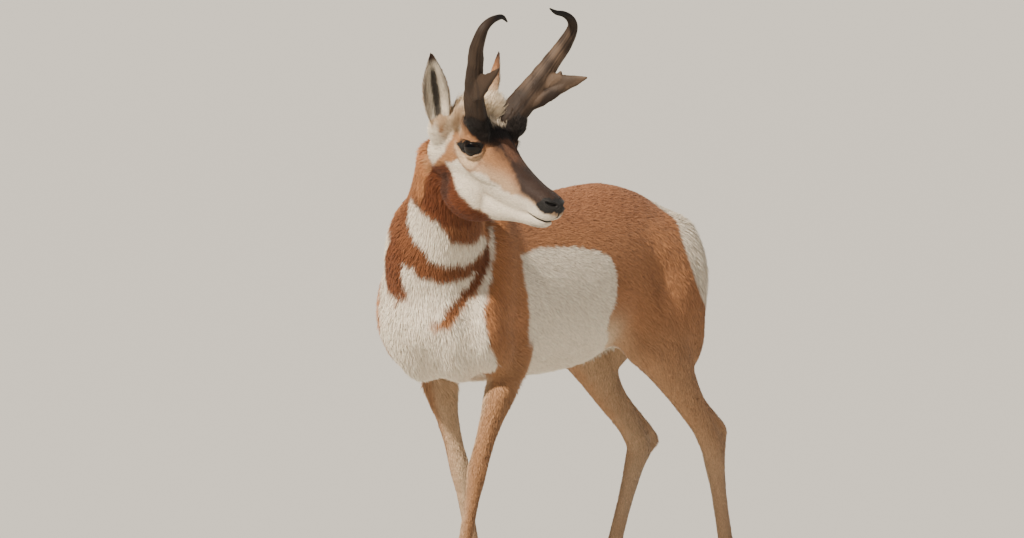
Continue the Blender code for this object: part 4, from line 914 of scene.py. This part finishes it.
def coatLie(points, label):
    # the way the hair points, before it is laid on the skin
    names, s, u, z, t, angle, f, l, up = places(points, label)
    down = np.array([0, 0, -1.0])
    _, back, left = centreLine(s)
    slope = np.interp(z, [0.50, 0.56, 0.66, 0.76, 0.83, 0.88], [0.15, 0.55, 0.62, 0.45, 0.20, 0.0])
    lie = back + down * (slope + smooth(0.20, 0.05, s) * 1.2)[:, None]
    lie = over(lie, smooth(0.56, 0.72, s) * smooth(0.86, 0.76, z), back * 0.55 + down)
    lie = over(lie, smooth(0.80, 0.87, s), back * 0.25 + down + left * (np.sign(u) * 0.45)[:, None])
    lie = over(lie, smooth(0.06, -0.01, s), down + back * 0.1 + left * (u * 3)[:, None])
    nearest = np.clip(np.round(t * neckSteps).astype(int), 0, len(neckRows) - 1)
    neckLie = unit(-neckAlong[nearest] + down * 0.25 - neckThroat[nearest] * 0.10 * np.cos(angle)[:, None])
    lie = over(unit(lie), (names == "neck") * smooth(0.4, 1.6, t), neckLie)
    lie = np.where((np.char.find(names, "leg") >= 0)[:, None], down + back * 0.12, lie)
    lie = np.where((names == "tail")[:, None], down + back * 0.25, lie)
    # the face: back from the nose, parting round the eye, and down over the cheeks and jaw
    faceLie = -headForward - headUp * smooth(0.03, -0.05, up)[:, None] * 0.45
    faceLie = faceLie + headUp * (smooth(0.10, 0.05, f) * smooth(0.04, 0.09, up))[:, None] * 0.5
    aside = np.sign(l) * smooth(0.02, 0.05, np.abs(l)) * smooth(0.05, 0.08, up)
    faceLie = faceLie + headLeft * aside[:, None] * 0.2
    crown = smooth(0.070, 0.084, up) * smooth(0.110, 0.098, f)
    faceLie = over(faceLie, crown, headUp * 0.9 - headForward * 0.15)
    lie = np.where((names == "head")[:, None], faceLie, lie)
    for side, way in bothSides.items():
        collar = smooth(1.9, 1.4, hornAway(points, side)) * smooth(0.060, 0.080, up) * (names == "head")
        lie = over(lie, collar, unit(headUp * 0.8 + headLeft * way * 0.45))
        chosen = names == "ear_" + side
        base, tip, axis, facing, across = earAxes(way)
        share, w, inside = earPlace(points[chosen], way)
        lie[chosen] = axis + np.outer(w * np.where(inside, -0.55, 0.15), across)
    return unit(lie)


def laid(lie, normals):
    return unit(lie - normals * (lie * normals).sum(-1, keepdims=True))


# Rounds in which the coat's growth, the way it lies and the skin's normals are evened out
evening = dict(growth=24, lie=10, lieTimes=4, normals=2)


def dressSkin():
    # works out the markings on the outer surface, then draws the skin in by the coat's depth
    mesh = skin.data
    points, normals = coordinates(mesh), vertexNormals(mesh)
    label = labelled(points)
    ends = readRows(mesh.edges, "vertices", 2, np.int32)
    growth = spread(coatGrowth(points, label), ends, evening["growth"])
    lie = laid(coatLie(points, label), normals)
    for _ in range(evening["lieTimes"]):
        lie = laid(spread(lie, ends, evening["lie"]), normals)
    colour = coatColour(points, label)
    setCoordinates(mesh, points - spread(normals, ends, evening["normals"]) * growth[:, :1])
    return points, label, growth, lie, colour


outerPoints, skinLabel, skinGrowth, skinLie, skinColour = dressSkin()
report("coat laid out")


def writeColour(mesh, colour):
    layer = mesh.color_attributes.new("coatColour", "FLOAT_COLOR", "POINT")
    layer.data.foreach_set("color", np.hstack([colour, np.ones((len(colour), 1))]).astype(np.float32).ravel())


def unwrapPlace(points, label):
    # where a point of the skin lies when the skin is unrolled: trunk, neck, head, tail, ears and legs side by side
    names, s, u, z, t, angle, f, l, up = places(points, label)
    high = z - 0.67
    r = np.hypot(u, high)
    along = s - np.maximum(0.15 - r, 0) * (s < 0.12) + np.maximum(0.14 - r, 0) * (s > 0.78)
    place = np.stack([0.02 + 0.56 * (along + 0.16) / 1.24, 0.30 + 0.27 * np.arctan2(u, -high) / math.pi], -1)
    r = np.hypot(l, up + 0.01)
    along = f + np.maximum(0.02 - r, 0) * (f > 0.26) - np.maximum(0.05 - r, 0) * (f < 0.0)
    for name, across, upwards in (
            ("neck", 0.62 + 0.03 * t, 0.20 + 0.17 * angle / math.pi),
            ("head", 0.63 + 0.32 * (along + 0.09) / 0.40, 0.60 + 0.18 * np.arctan2(l, up + 0.01) / math.pi),
            ("tail", 0.86 + 0.2 * (z - 0.62), 0.90 + 0.5 * u)):
        place[names == name] = np.stack([across, upwards], -1)[names == name]
    for i, (side, way) in enumerate(bothSides.items()):
        chosen = names == "ear_" + side
        share, w, inside = earPlace(points[chosen], way)
        place[chosen] = np.stack([0.63 + 0.13 * share, 0.84 + 0.07 * i + 0.033 * inside + 0.014 * w], -1)
    heights = np.linspace(0, 0.60, 40)
    for i, leg in enumerate(("foreleg_left", "foreleg_right", "hindleg_left", "hindleg_right")):
        chosen = np.char.startswith(names, leg)
        h = points[chosen, 2]
        near = [np.abs(h - height) < 0.03 for height in heights]
        x, y = (part - np.interp(h, heights, [part[close].mean() if close.any() else part.mean() for close in near])
                for part in points[chosen, :2].T)
        place[chosen] = np.stack([0.02 + 0.9 * h, 0.64 + 0.085 * i + 0.040 * np.arctan2(x, y) / math.pi], -1)
    return np.clip(place, 0.003, 0.997)


# Where hair is left out: the share that the nose keeps, the lips' half height, the angle past the lids' edges, and the
# reach of the nostrils and the horns
bare = dict(nose=0.25, lips=0.0016, lids=0.07, nostrils=1.15, horns=0.96)


def coatWanted(corners):
    # no hair grows under the eyes or inside the horns, and little on the nose
    points = outerPoints[corners].mean(1)
    f, l, up = headPlace(points)
    wanted = np.where((f > 0.266) & (up > -0.021) & (up < 0.003), bare["nose"], 1.0)
    height, mouthShare = mouthPlace(points)
    wanted[(np.abs(height) < bare["lips"]) & (mouthShare > 0.5)] = 0
    for side, way in bothSides.items():
        theta, turn, r = eyePlace(points, way)
        wanted[(theta < lidOpening(turn) + bare["lids"]) & (r < 0.026)] = 0
        wanted[(nostrilPlace(points, way)[0] < bare["nostrils"]) | (hornAway(points, side) < bare["horns"])] = 0
    return wanted


def rootsOnSkin():
    # where each hair leaves the skin: its triangle and its place in it
    chance = np.random.default_rng(11)
    corners = triangleCorners(skin.data)
    a, b, c = coordinates(skin.data)[corners].transpose(1, 0, 2)
    area = np.linalg.norm(np.cross(b - a, c - a), axis=1) / 2
    wanted = area * skinGrowth[corners, 3].mean(1) * coatWanted(corners)
    count = np.floor(wanted + chance.uniform(size=len(wanted))).astype(int)
    triangle = np.repeat(np.arange(len(corners)), count)
    p, q = chance.uniform(size=(2, len(triangle)))
    flip = p + q > 1
    p[flip], q[flip] = 1 - p[flip], 1 - q[flip]
    return corners[triangle], np.stack([1 - p - q, p, q], -1)


# How much tufts differ: stray, roll, wave and sway turn them, length, width and lift are the least and the most share
# of the coat's, and ownColour is how far their colours spread. A tuft starts sunk metres under the skin, has the
# colour of the place that lies shown of its length away, and takes up a patch of the unrolled skin.
tuft = dict(stray=0.10, roll=0.30, wave=0.10, waveSize=0.045, sway=0.07, length=(0.75, 1.2), width=(0.8, 1.2),
            lift=(0.55, 1.35), ownColour=0.08, sunk=0.0006, shown=0.45, patch=0.0015, firstSeed=100)


def tuftMesh(name, seed, root, normal, lie, growth, colour, place):
    # each hair tuft is a thin blade of a quad and a point, bent along the coat
    count = len(root)
    chance = np.random.default_rng(seed)
    lie = laid(lie + chance.normal(size=(count, 3)) * tuft["stray"], normal)
    roll = chance.normal(size=(count, 1)) * tuft["roll"]
    side = unit(np.cross(normal, lie) * np.cos(roll) + normal * np.sin(roll))
    length = (growth[:, 1] * chance.uniform(*tuft["length"], count))[:, None]
    half = (growth[:, 2] * chance.uniform(*tuft["width"], count))[:, None] / 2
    high = (growth[:, 4] * chance.uniform(*tuft["lift"], count))[:, None] * length
    sway = chance.normal(size=(count, 1)) * tuft["sway"] * length
    bottom = root - normal * tuft["sunk"]
    middle = root + lie * length * 0.52 + normal * high * 0.72 + side * sway * 0.4
    tip = root + lie * length + normal * high * 0.95 + side * sway
    verts = np.stack([bottom - side * half * 0.8, bottom + side * half * 0.8,
                      middle - side * half, middle + side * half, tip], 1)
    # The darker roots are partly the hairs' own banding and partly painted shade down in the coat
    deep = 0.66 + 0.16 * smooth(0.3, 0.7, colour[:, 1])         # darker at the root, more so in dark hair
    shade = np.stack([deep, deep, *np.outer([0.96, 0.96, 1.08], np.ones(count))], -1)
    own = (colour * (1 + chance.normal(size=(count, 1)) * tuft["ownColour"])).clip(0.004, 0.95)
    mesh = bpy.data.meshes.new(name)
    mesh.vertices.add(count * 5)
    mesh.vertices.foreach_set("co", verts.astype(np.float32).ravel())
    number = np.arange(count)[:, None]
    mesh.loops.add(count * 7)
    mesh.loops.foreach_set("vertex_index", (number * 5 + [0, 1, 3, 2, 2, 3, 4]).ravel().astype(np.int32))
    mesh.polygons.add(count * 2)
    mesh.polygons.foreach_set("loop_start", (number * 7 + [0, 4]).ravel().astype(np.int32))
    mesh.polygons.foreach_set("use_smooth", np.ones(count * 2, bool))
    writeColour(mesh, (own[:, None, :] * shade[:, :, None]).reshape(-1, 3).clip(0, 0.95))
    patch = np.array([[-1, -1], [1, -1], [1, 0.3], [-1, 0.3], [-1, 0.3], [1, 0.3], [0, 1]]) * tuft["patch"]
    layer = mesh.uv_layers.new(name="OFBake")
    layer.data.foreach_set("uv", (place[:, None, :] + patch).astype(np.float32).ravel())
    mesh.update(calc_edges=True)
    return linked(name, mesh)


def surface(name, roughness=0.62, scale=260, depth=0.0, coat=0.0, sheen=0.0):
    # the mesh's own colours under a fine grain
    made = bpy.data.materials.new(name)
    made.use_nodes = True
    nodes, link = made.node_tree.nodes, made.node_tree.links.new
    shader = nodes["Principled BSDF"]
    colour, place, grain, tone, mix = (nodes.new("ShaderNode" + kind) for kind in (
        "Attribute", "TexCoord", "TexNoise", "MapRange", "VectorMath"))
    colour.attribute_name = "coatColour"
    mix.operation = "SCALE"
    settings = [(grain, "Scale", scale), (grain, "Detail", 3), (tone, "To Min", 0.80), (tone, "To Max", 1.18),
                (shader, "Roughness", roughness), (shader, "Specular IOR Level", 0.16 if coat else 0.28),
                (shader, "Coat Weight", coat), (shader, "Coat Roughness", 0.03), (shader, "Sheen Weight", sheen),
                (shader, "Sheen Roughness", 0.5)]
    link(place.outputs["Object"], grain.inputs["Vector"])
    link(grain.outputs["Fac"], tone.inputs["Value"])
    link(colour.outputs["Color"], mix.inputs[0])
    link(tone.outputs["Result"], mix.inputs["Scale"])
    link(mix.outputs["Vector"], shader.inputs["Base Color"])
    if depth:
        relief = nodes.new("ShaderNodeBump")
        settings += [(relief, "Strength", depth), (relief, "Distance", 0.0004)]
        link(grain.outputs["Fac"], relief.inputs["Height"])
        link(relief.outputs["Normal"], shader.inputs["Normal"])
    for node, socket, value in settings:
        node.inputs[socket].default_value = value
    return made


def finished(piece, colour, material, *nodes, smoothFaces=None):
    # colours one piece, gives it its material, and sets it in the place of these nodes; smoothFaces, where it is
    # given, says how many corners a smoothly shaded face has
    writeColour(piece.data, colour)
    piece.data.materials.append(material)
    for p in piece.data.polygons:
        p.use_smooth = smoothFaces is None or len(p.vertices) in smoothFaces
    if nodes:
        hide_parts(*nodes)
    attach(piece, "root")


def growCoat():
    corners, weights = rootsOnSkin()

    def atRoots(values):
        return (values[corners] * weights[..., None]).sum(1)

    root, outer, growth = atRoots(coordinates(skin.data)), atRoots(outerPoints), atRoots(skinGrowth)
    normal = unit(atRoots(vertexNormals(skin.data)))
    label = skinLabel[corners[np.arange(len(corners)), np.argmax(weights, 1)]]
    wave = np.stack([wander(outer, tuft["waveSize"], i) for i in range(3)], -1)
    lie = laid(laid(atRoots(skinLie), normal) + wave * tuft["wave"], normal)
    colour = coatColour(outer + lie * growth[:, 1:2] * tuft["shown"], label)
    place = unwrapPlace(outer, label)
    names, s, u, z, t, angle, f, l, up = places(outer, label)
    torso, onHeadNode = names == "torso", names == "head"
    barrel = torso & (s >= 0.22) & (s < 0.60)
    parts = dict(
        coatForequarters=torso & (s < 0.22),
        coatBarrelLeft=barrel & (u >= 0), coatBarrelRight=barrel & (u < 0),
        coatHaunchLeft=torso & (s >= 0.60) & (u >= 0), coatHaunchRight=torso & (s >= 0.60) & (u < 0),
        coatNeck=names == "neck", coatFace=onHeadNode & (f >= 0.12), coatHead=onHeadNode & (f < 0.12),
        coatTail=names == "tail", coatEars=np.char.startswith(names, "ear_"),
        coatForelegs=np.char.startswith(names, "fore"), coatHindlegs=np.char.startswith(names, "hind"),
    )
    hair = surface("hair", sheen=0.12)
    for seed, (name, chosen) in enumerate(parts.items(), tuft["firstSeed"]):
        piece = tuftMesh(name, seed, *(part[chosen] for part in (root, normal, lie, growth, colour, place)))
        piece.data.materials.append(hair)
        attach(piece, "root")
        print("  %s %d triangles" % (name, chosen.sum() * 3))
    report("coat, %d triangles" % (len(root) * 3))


growCoat()
underCoat = 0.8     # the hide is this much darker than the hair on it
finished(skin, skinColour * underCoat, surface("hide", scale=420, depth=0.5, sheen=0.12), *fleshNodes)


# The horns, eyes, lashes and hooves
def bladeForm(name, rows, front, thin, count, above, below):
    points, deep, thick = rows
    drop = deep * (0.92 if above != below else 1)
    return loft(name, [oval(points[i], thin[i], front[i], thick[i], deep[i], drop[i], count, above, below)
                       for i in range(len(points))])


# The lighter horn colour is partly real scuffing and partly painted sunlight; the side factor gives it in full to the
# sunlit left horn and little to the shaded right one
hornColours = dict(base=(0.030, 0.017, 0.010), scuffedAndLit=(0.112, 0.070, 0.044), tip=(0.008, 0.006, 0.005),
                   # The groove colour is painted shade in the valleys between the horn's ridges
                   groove=(0.012, 0.007, 0.005), worn=dict(left=1.0, right=0.22))
# Size of the grain that a horn is made with, rounds of smoothing, and heights of its ridges, warts and swellings
hornMake = dict(fine=(0.0013, 7), ridge=0.00024, wart=0.00036, swelling=0.0007)


def addHorn(side):
    l = bothSides[side]
    rows = hornRows(side)
    points = rows[0]
    along = unit(np.gradient(points, axis=0))
    blade = unit(headForward + headLeft * l * hornShape["turn"])
    front = unit(blade - along * (along @ blade)[:, None])
    thin = np.cross(along, front)
    forms = [bladeForm("beam", rows, front, thin, 40, 1.8, 2.2)]
    plane = unit(headLeft * l - headForward * hornShape["turn"])
    for form in ("web", "prong") if side == "left" else ("prong",):
        rows = prongRows(side, form)
        way = unit(np.gradient(rows[0], axis=0))
        up = unit(np.cross(plane, way))
        forms.append(bladeForm(form, rows, up, np.cross(way, up), 28, 2.0, 2.0))
    if side == "left":
        low, high, (halfWidth, halfDepth) = (mm(row)[0] for row in hornShape["knob"])
        forms.append(muscle("knob", onHead(*low), onHead(*high), halfWidth, halfDepth))
    horn = fused(joined("fineHorn" + side.capitalize(), forms), *hornMake["fine"])
    co = coordinates(horn.data)
    nearest = np.array([np.argmin(((points - p) ** 2).sum(1)) for p in co])
    share = nearest / (len(points) - 1)
    away = co - points[nearest]
    turn = np.arctan2((away * thin[nearest]).sum(1), (away * front[nearest]).sum(1))
    drawn = np.stack([0.020 * np.cos(turn), 0.020 * np.sin(turn), share * 0.022 + 0.02 * l], -1)
    lengthwise = wander(drawn, 0.0080) * 0.6 + wander(drawn, 0.0042, 3) * 0.4
    warts = np.maximum(wander(co, 0.0085) * wander(co, 0.0120, 3), 0)
    low = smooth(0.62, 0.25, share)
    height = lengthwise * (hornMake["ridge"] * (1 - 0.7 * smooth(0.6, 0.9, share))) + warts * hornMake["wart"] * low
    height = height + wander(co, 0.030, 2) * hornMake["swelling"] * low
    setCoordinates(horn.data, co + vertexNormals(horn.data) * height[:, None])
    colour, paint = brush(len(co), hornColours, "base")
    # painted light: the prong is painted lighter as sunlit, and the side factor keeps the shaded right horn darker; the
    # scuffs along the beam are partly real wear
    prong = smooth(0.022, 0.010, np.min([np.linalg.norm(co - p, axis=1) for p in rows[0][10:]], axis=0))
    scuff = smooth(-0.8, 1.2, 0.5 * lengthwise + wander(co, 0.050, 1))
    scuff = scuff * smooth(0.10, 0.30, share) * smooth(0.66, 0.48, share)
    paint(np.maximum(scuff, prong * 0.9) * hornColours["worn"][side], "scuffedAndLit")
    # painted shade in the valleys between the ridges
    paint(smooth(-0.2, -0.9, lengthwise) * 0.45, "groove")
    paint(smooth(0.66, 0.84, share), "tip")
    finished(horn, colour, hornMaterial, "horn_" + side)


eyeLooks = dict(white=(0.008, 0.005, 0.004), iris=(0.010, 0.005, 0.002), ring=(0.002, 0.0015, 0.0015),
                pupil=(0.0008, 0.0008, 0.0010), cornea=0.030)


def addEye(side):
    centre, axis, ahead, tall = eyeFrame(bothSides[side])
    rings = []
    for a in np.concatenate([np.linspace(0.02, 0.9, 24), np.linspace(0.97, math.pi - 0.02, 18)]):
        radius = head["eyeRadius"] * (1 + eyeLooks["cornea"] * math.exp(-(a / 0.42) ** 2))
        rings.append(oval(centre + axis * radius * math.cos(a), ahead, tall, *[radius * math.sin(a)] * 3, 56))
    eye = loft("eyeball" + side.capitalize(), rings)
    a, turn, r = eyePlace(coordinates(eye.data), bothSides[side])
    streak = 0.5 + 0.5 * np.sin(turn * 60 + 3 * np.sin(turn * 17))
    colour, paint = brush(len(a), eyeLooks, "white")
    paint(smooth(0.86, 0.80, a), "ring")
    paint(smooth(0.78, 0.70, a) * (0.6 + 0.4 * streak), "iris")
    paint(smooth(1.08, 0.94, np.hypot(a * np.cos(turn) / 0.50, a * np.sin(turn) / 0.26)), "pupil")
    finished(eye, colour, eyeMaterial, "eye_" + side)


# Each row of lashes: how many, from which angle to which, length, and whether it is over or under the eye
lashes = dict(rows=[(74, 8, 176, 0.0105, 1), (34, 190, 350, 0.0045, -1)], width=0.00042)


def addLashes(side):
    l = bothSides[side]
    centre, axis, ahead, tall = eyeFrame(l)
    chance = np.random.default_rng(31 + l)
    verts, faces = [], []
    for count, low, high, length, sign in lashes["rows"]:
        for i in range(count):
            turn = math.radians(low + (high - low) * (i + chance.uniform(-0.4, 0.4)) / (count - 1))
            way = eyeRays(float(lidOpening(turn)) + chance.uniform(0.03, 0.10), turn, l)[0]
            root = centre + way * (head["eyeRadius"] + 0.0012)
            back = 0.5 - 0.5 * math.cos(turn)
            out = unit(axis * (0.75 - 0.25 * back) + tall * sign * 0.30 - ahead * (0.15 + 0.75 * back)
                       + chance.normal(size=3) * 0.07)
            reach = length * chance.uniform(0.75, 1.1) * (1 + 0.35 * back)
            half = unit(np.cross(out, way)) * lashes["width"] / 2
            n = len(verts)
            for share, wide in ((0, 1.0), (0.35, 0.9), (0.7, 0.6)):
                point = root + out * reach * share - tall * sign * reach * 0.35 * share ** 2
                verts += [point - half * wide, point + half * wide]
            verts.append(root + out * reach - tall * sign * reach * 0.35)
            faces += [(n, n + 1, n + 3, n + 2), (n + 2, n + 3, n + 5, n + 4), (n + 4, n + 5, n + 6)]
    colour, _ = brush(len(verts), coatColours, "lash")
    finished(meshObject("lashes" + side.capitalize(), verts, faces), colour, lashMaterial, smoothFaces=())


# Each claw: length, width and height at the front; outline as share of the length, outer and inner share of the width;
# levels as share of the height, scale and shift back. Its middle lies that share of the length in front of the
# heel, each claw stands that share of its width off the leg's middle, and ridge is how far its sides wave.
hoofShape = dict(
    fore=(0.066, 0.026, 0.040), hind=(0.060, 0.024, 0.038), gap=0.0016, slope=math.radians(24), ahead=0.014,
    middle=0.42, apart=0.42, topAt=0.80, ridge=0.010,
    outline=[(0.00, 0.36, 0.20), (0.10, 0.50, 0.34), (0.30, 0.58, 0.42), (0.55, 0.55, 0.40), (0.78, 0.38, 0.34),
             (0.93, 0.16, 0.26), (1.00, -0.06, 0.14)],
    levels=[(0.0, 1.0, 0.0), (0.35, 0.96, -0.055), (0.75, 0.84, -0.115), (1.35, 0.70, -0.200)],
    coronets={"fore_left": (0.084, -0.018), "fore_right": (-0.050, 0.315), "hind_left": (0.096, 0.906),
              "hind_right": (-0.080, 0.738)},
)
hoofColours = dict(horn=(0.040, 0.030, 0.024), pale=(0.110, 0.085, 0.062), dusty=(0.180, 0.140, 0.100))


def addClaw(leg, side):
    end = leg.split("_")[0]
    inner = -bothSides[side]
    middle, back, left = centreLine(trunk["girdle"][end])
    length, width, height = hoofShape[end]
    place = nearGirdle(*hoofShape["coronets"][leg], 0, end) - back * hoofShape["ahead"] - left * inner * (
        hoofShape["gap"] / 2 + width * hoofShape["apart"])
    outline = np.array(hoofShape["outline"])
    loop = np.vstack([outline[:, :2] * (1, -inner), outline[::-1, ::2] * (1, inner)])
    loop = catmull(np.vstack([loop, loop[:1]]), 5)[:-1]
    levels = np.array(hoofShape["levels"])
    rings = []
    for v in np.concatenate([[0, 0.012], np.linspace(0.03, 1, 30)]):
        h = np.full(len(loop), v)
        for _ in range(4):      # the top slopes down to the heel, so each height depends on how far forward it is
            scale, slant = (np.interp(h, levels[:, 0], levels[:, k]) for k in (1, 2))
            along = (loop[:, 0] - hoofShape["middle"]) * length * scale + slant * length
            h = v * (height * hoofShape["topAt"] + math.tan(hoofShape["slope"]) * (along + hoofShape["ahead"])) / height
        ridge = 1 + hoofShape["ridge"] * math.sin(v * 44 + 2 * math.sin(v * 9)) * (0.05 < v < 0.97) - 0.02 * (v == 0)
        across = loop[:, 1] * width * scale * ridge
        rings.append(place - np.outer(along, back) + np.outer(across, left) + np.outer(h * height, [0, 0, 1]))
    claw = loft("claw" + "".join(word.capitalize() for word in (leg + "_" + side).split("_")), rings)
    co = coordinates(claw.data)
    bands = wander(np.stack([co[:, 2] * 3, co[:, 2] * 2, co[:, 0] * 0.15], -1), 0.012)
    colour, paint = brush(len(co), hoofColours, "horn")
    paint(smooth(0.0, 1.2, bands) * 0.5, "pale")
    paint(smooth(0.016, 0.0, co[:, 2] + 0.004 * wander(co, 0.012)) * 0.7, "dusty")
    finished(claw, colour, hoofMaterial, "hoof_%s_%s" % (leg, side), smoothFaces=(4,))


hornMaterial = surface("hornKeratin", roughness=0.66, scale=900, depth=0.5)
eyeMaterial = surface("wetEye", roughness=0.08, scale=60, coat=0.26)
lashMaterial = surface("lashHair", roughness=0.45, scale=500, depth=0.1)
hoofMaterial = surface("hoofKeratin", roughness=0.55, scale=700, depth=0.35)
for side in bothSides:
    addHorn(side)
    addEye(side)
    addLashes(side)
report("horns, eyes and lashes")
for leg in hoofShape["coronets"]:
    for side in bothSides:
        addClaw(leg, side)
report("hooves")


# Camera, light and floor. Pixels are the photo's, and angles are degrees.
view = dict(azimuth=35, elevation=2, pixelsPerMetre=520, distance=25.0, frameWidth=1024, frameHeight=538,
            middle=550, ground=643)
# Each lamp: azimuth as the camera's, elevation over the floor, strength, width of the lamp, colour
lamps = dict(keyLight=(-6, 42, 7.0, 3, (1.0, 0.91, 0.78)), fillLight=(75, 25, 0.15, 40, (1.0, 0.97, 0.93)))
world = dict(colour=(0.93, 0.94, 1.0, 1), strength=0.30)
floorLooks = dict(radius=160, dark=(0.62, 0.60, 0.55, 1), light=(0.66, 0.64, 0.59, 1), roughness=0.9, scale=3)


def aimed(name, data, azimuth, elevation):
    # an object that looks down from there, and the way to it
    a, e = math.radians(azimuth), math.radians(elevation)
    way = Vector((math.sin(a) * math.cos(e), -math.cos(a) * math.cos(e), math.sin(e)))
    obj = linked(name, data)
    obj.rotation_mode = "QUATERNION"
    obj.rotation_quaternion = way.to_track_quat("Z", "Y")
    return obj, way


def addCamera():
    a, scale = math.radians(view["azimuth"]), view["pixelsPerMetre"]
    aside = (view["frameWidth"] / 2 - view["middle"]) / scale
    height = (view["ground"] - view["frameHeight"] / 2) / scale
    data = bpy.data.cameras.new("photoCamera")
    data.sensor_width = 36
    data.lens = scale * view["distance"] / view["frameWidth"] * data.sensor_width
    data.clip_start, data.clip_end = 1, 500
    camera, back = aimed("photoCamera", data, view["azimuth"], view["elevation"])
    camera.location = Vector((aside * math.cos(a) + shift[0], aside * math.sin(a) + shift[1], height)) + (
        back * view["distance"])
    bpy.context.scene.camera = camera


def addStage():
    bm = bmesh.new()
    bmesh.ops.create_circle(bm, cap_ends=True, radius=floorLooks["radius"], segments=96)
    floor = linked("floor", meshOf("floor", bm))
    made = bpy.data.materials.new("paleFloor")
    made.use_nodes = True
    nodes, link = made.node_tree.nodes, made.node_tree.links.new
    noise, ramp = nodes.new("ShaderNodeTexNoise"), nodes.new("ShaderNodeValToRGB")
    noise.inputs["Scale"].default_value = floorLooks["scale"]
    for element, shade in zip(ramp.color_ramp.elements, ("dark", "light")):
        element.color = floorLooks[shade]
    link(noise.outputs["Fac"], ramp.inputs["Fac"])
    link(ramp.outputs["Color"], nodes["Principled BSDF"].inputs["Base Color"])
    nodes["Principled BSDF"].inputs["Roughness"].default_value = floorLooks["roughness"]
    floor.data.materials.append(made)
    bpy.context.scene.world = bpy.data.worlds.new("studio")
    bpy.context.scene.world.use_nodes = True
    background = bpy.context.scene.world.node_tree.nodes["Background"]
    background.inputs["Color"].default_value = world["colour"]
    background.inputs["Strength"].default_value = world["strength"]
    for name, (azimuth, elevation, strength, width, colour) in lamps.items():
        data = bpy.data.lights.new(name, "SUN")
        data.energy, data.angle, data.color = strength, math.radians(width), colour
        aimed(name, data, azimuth, elevation)


addCamera()
addStage()

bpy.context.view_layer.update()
report("done")
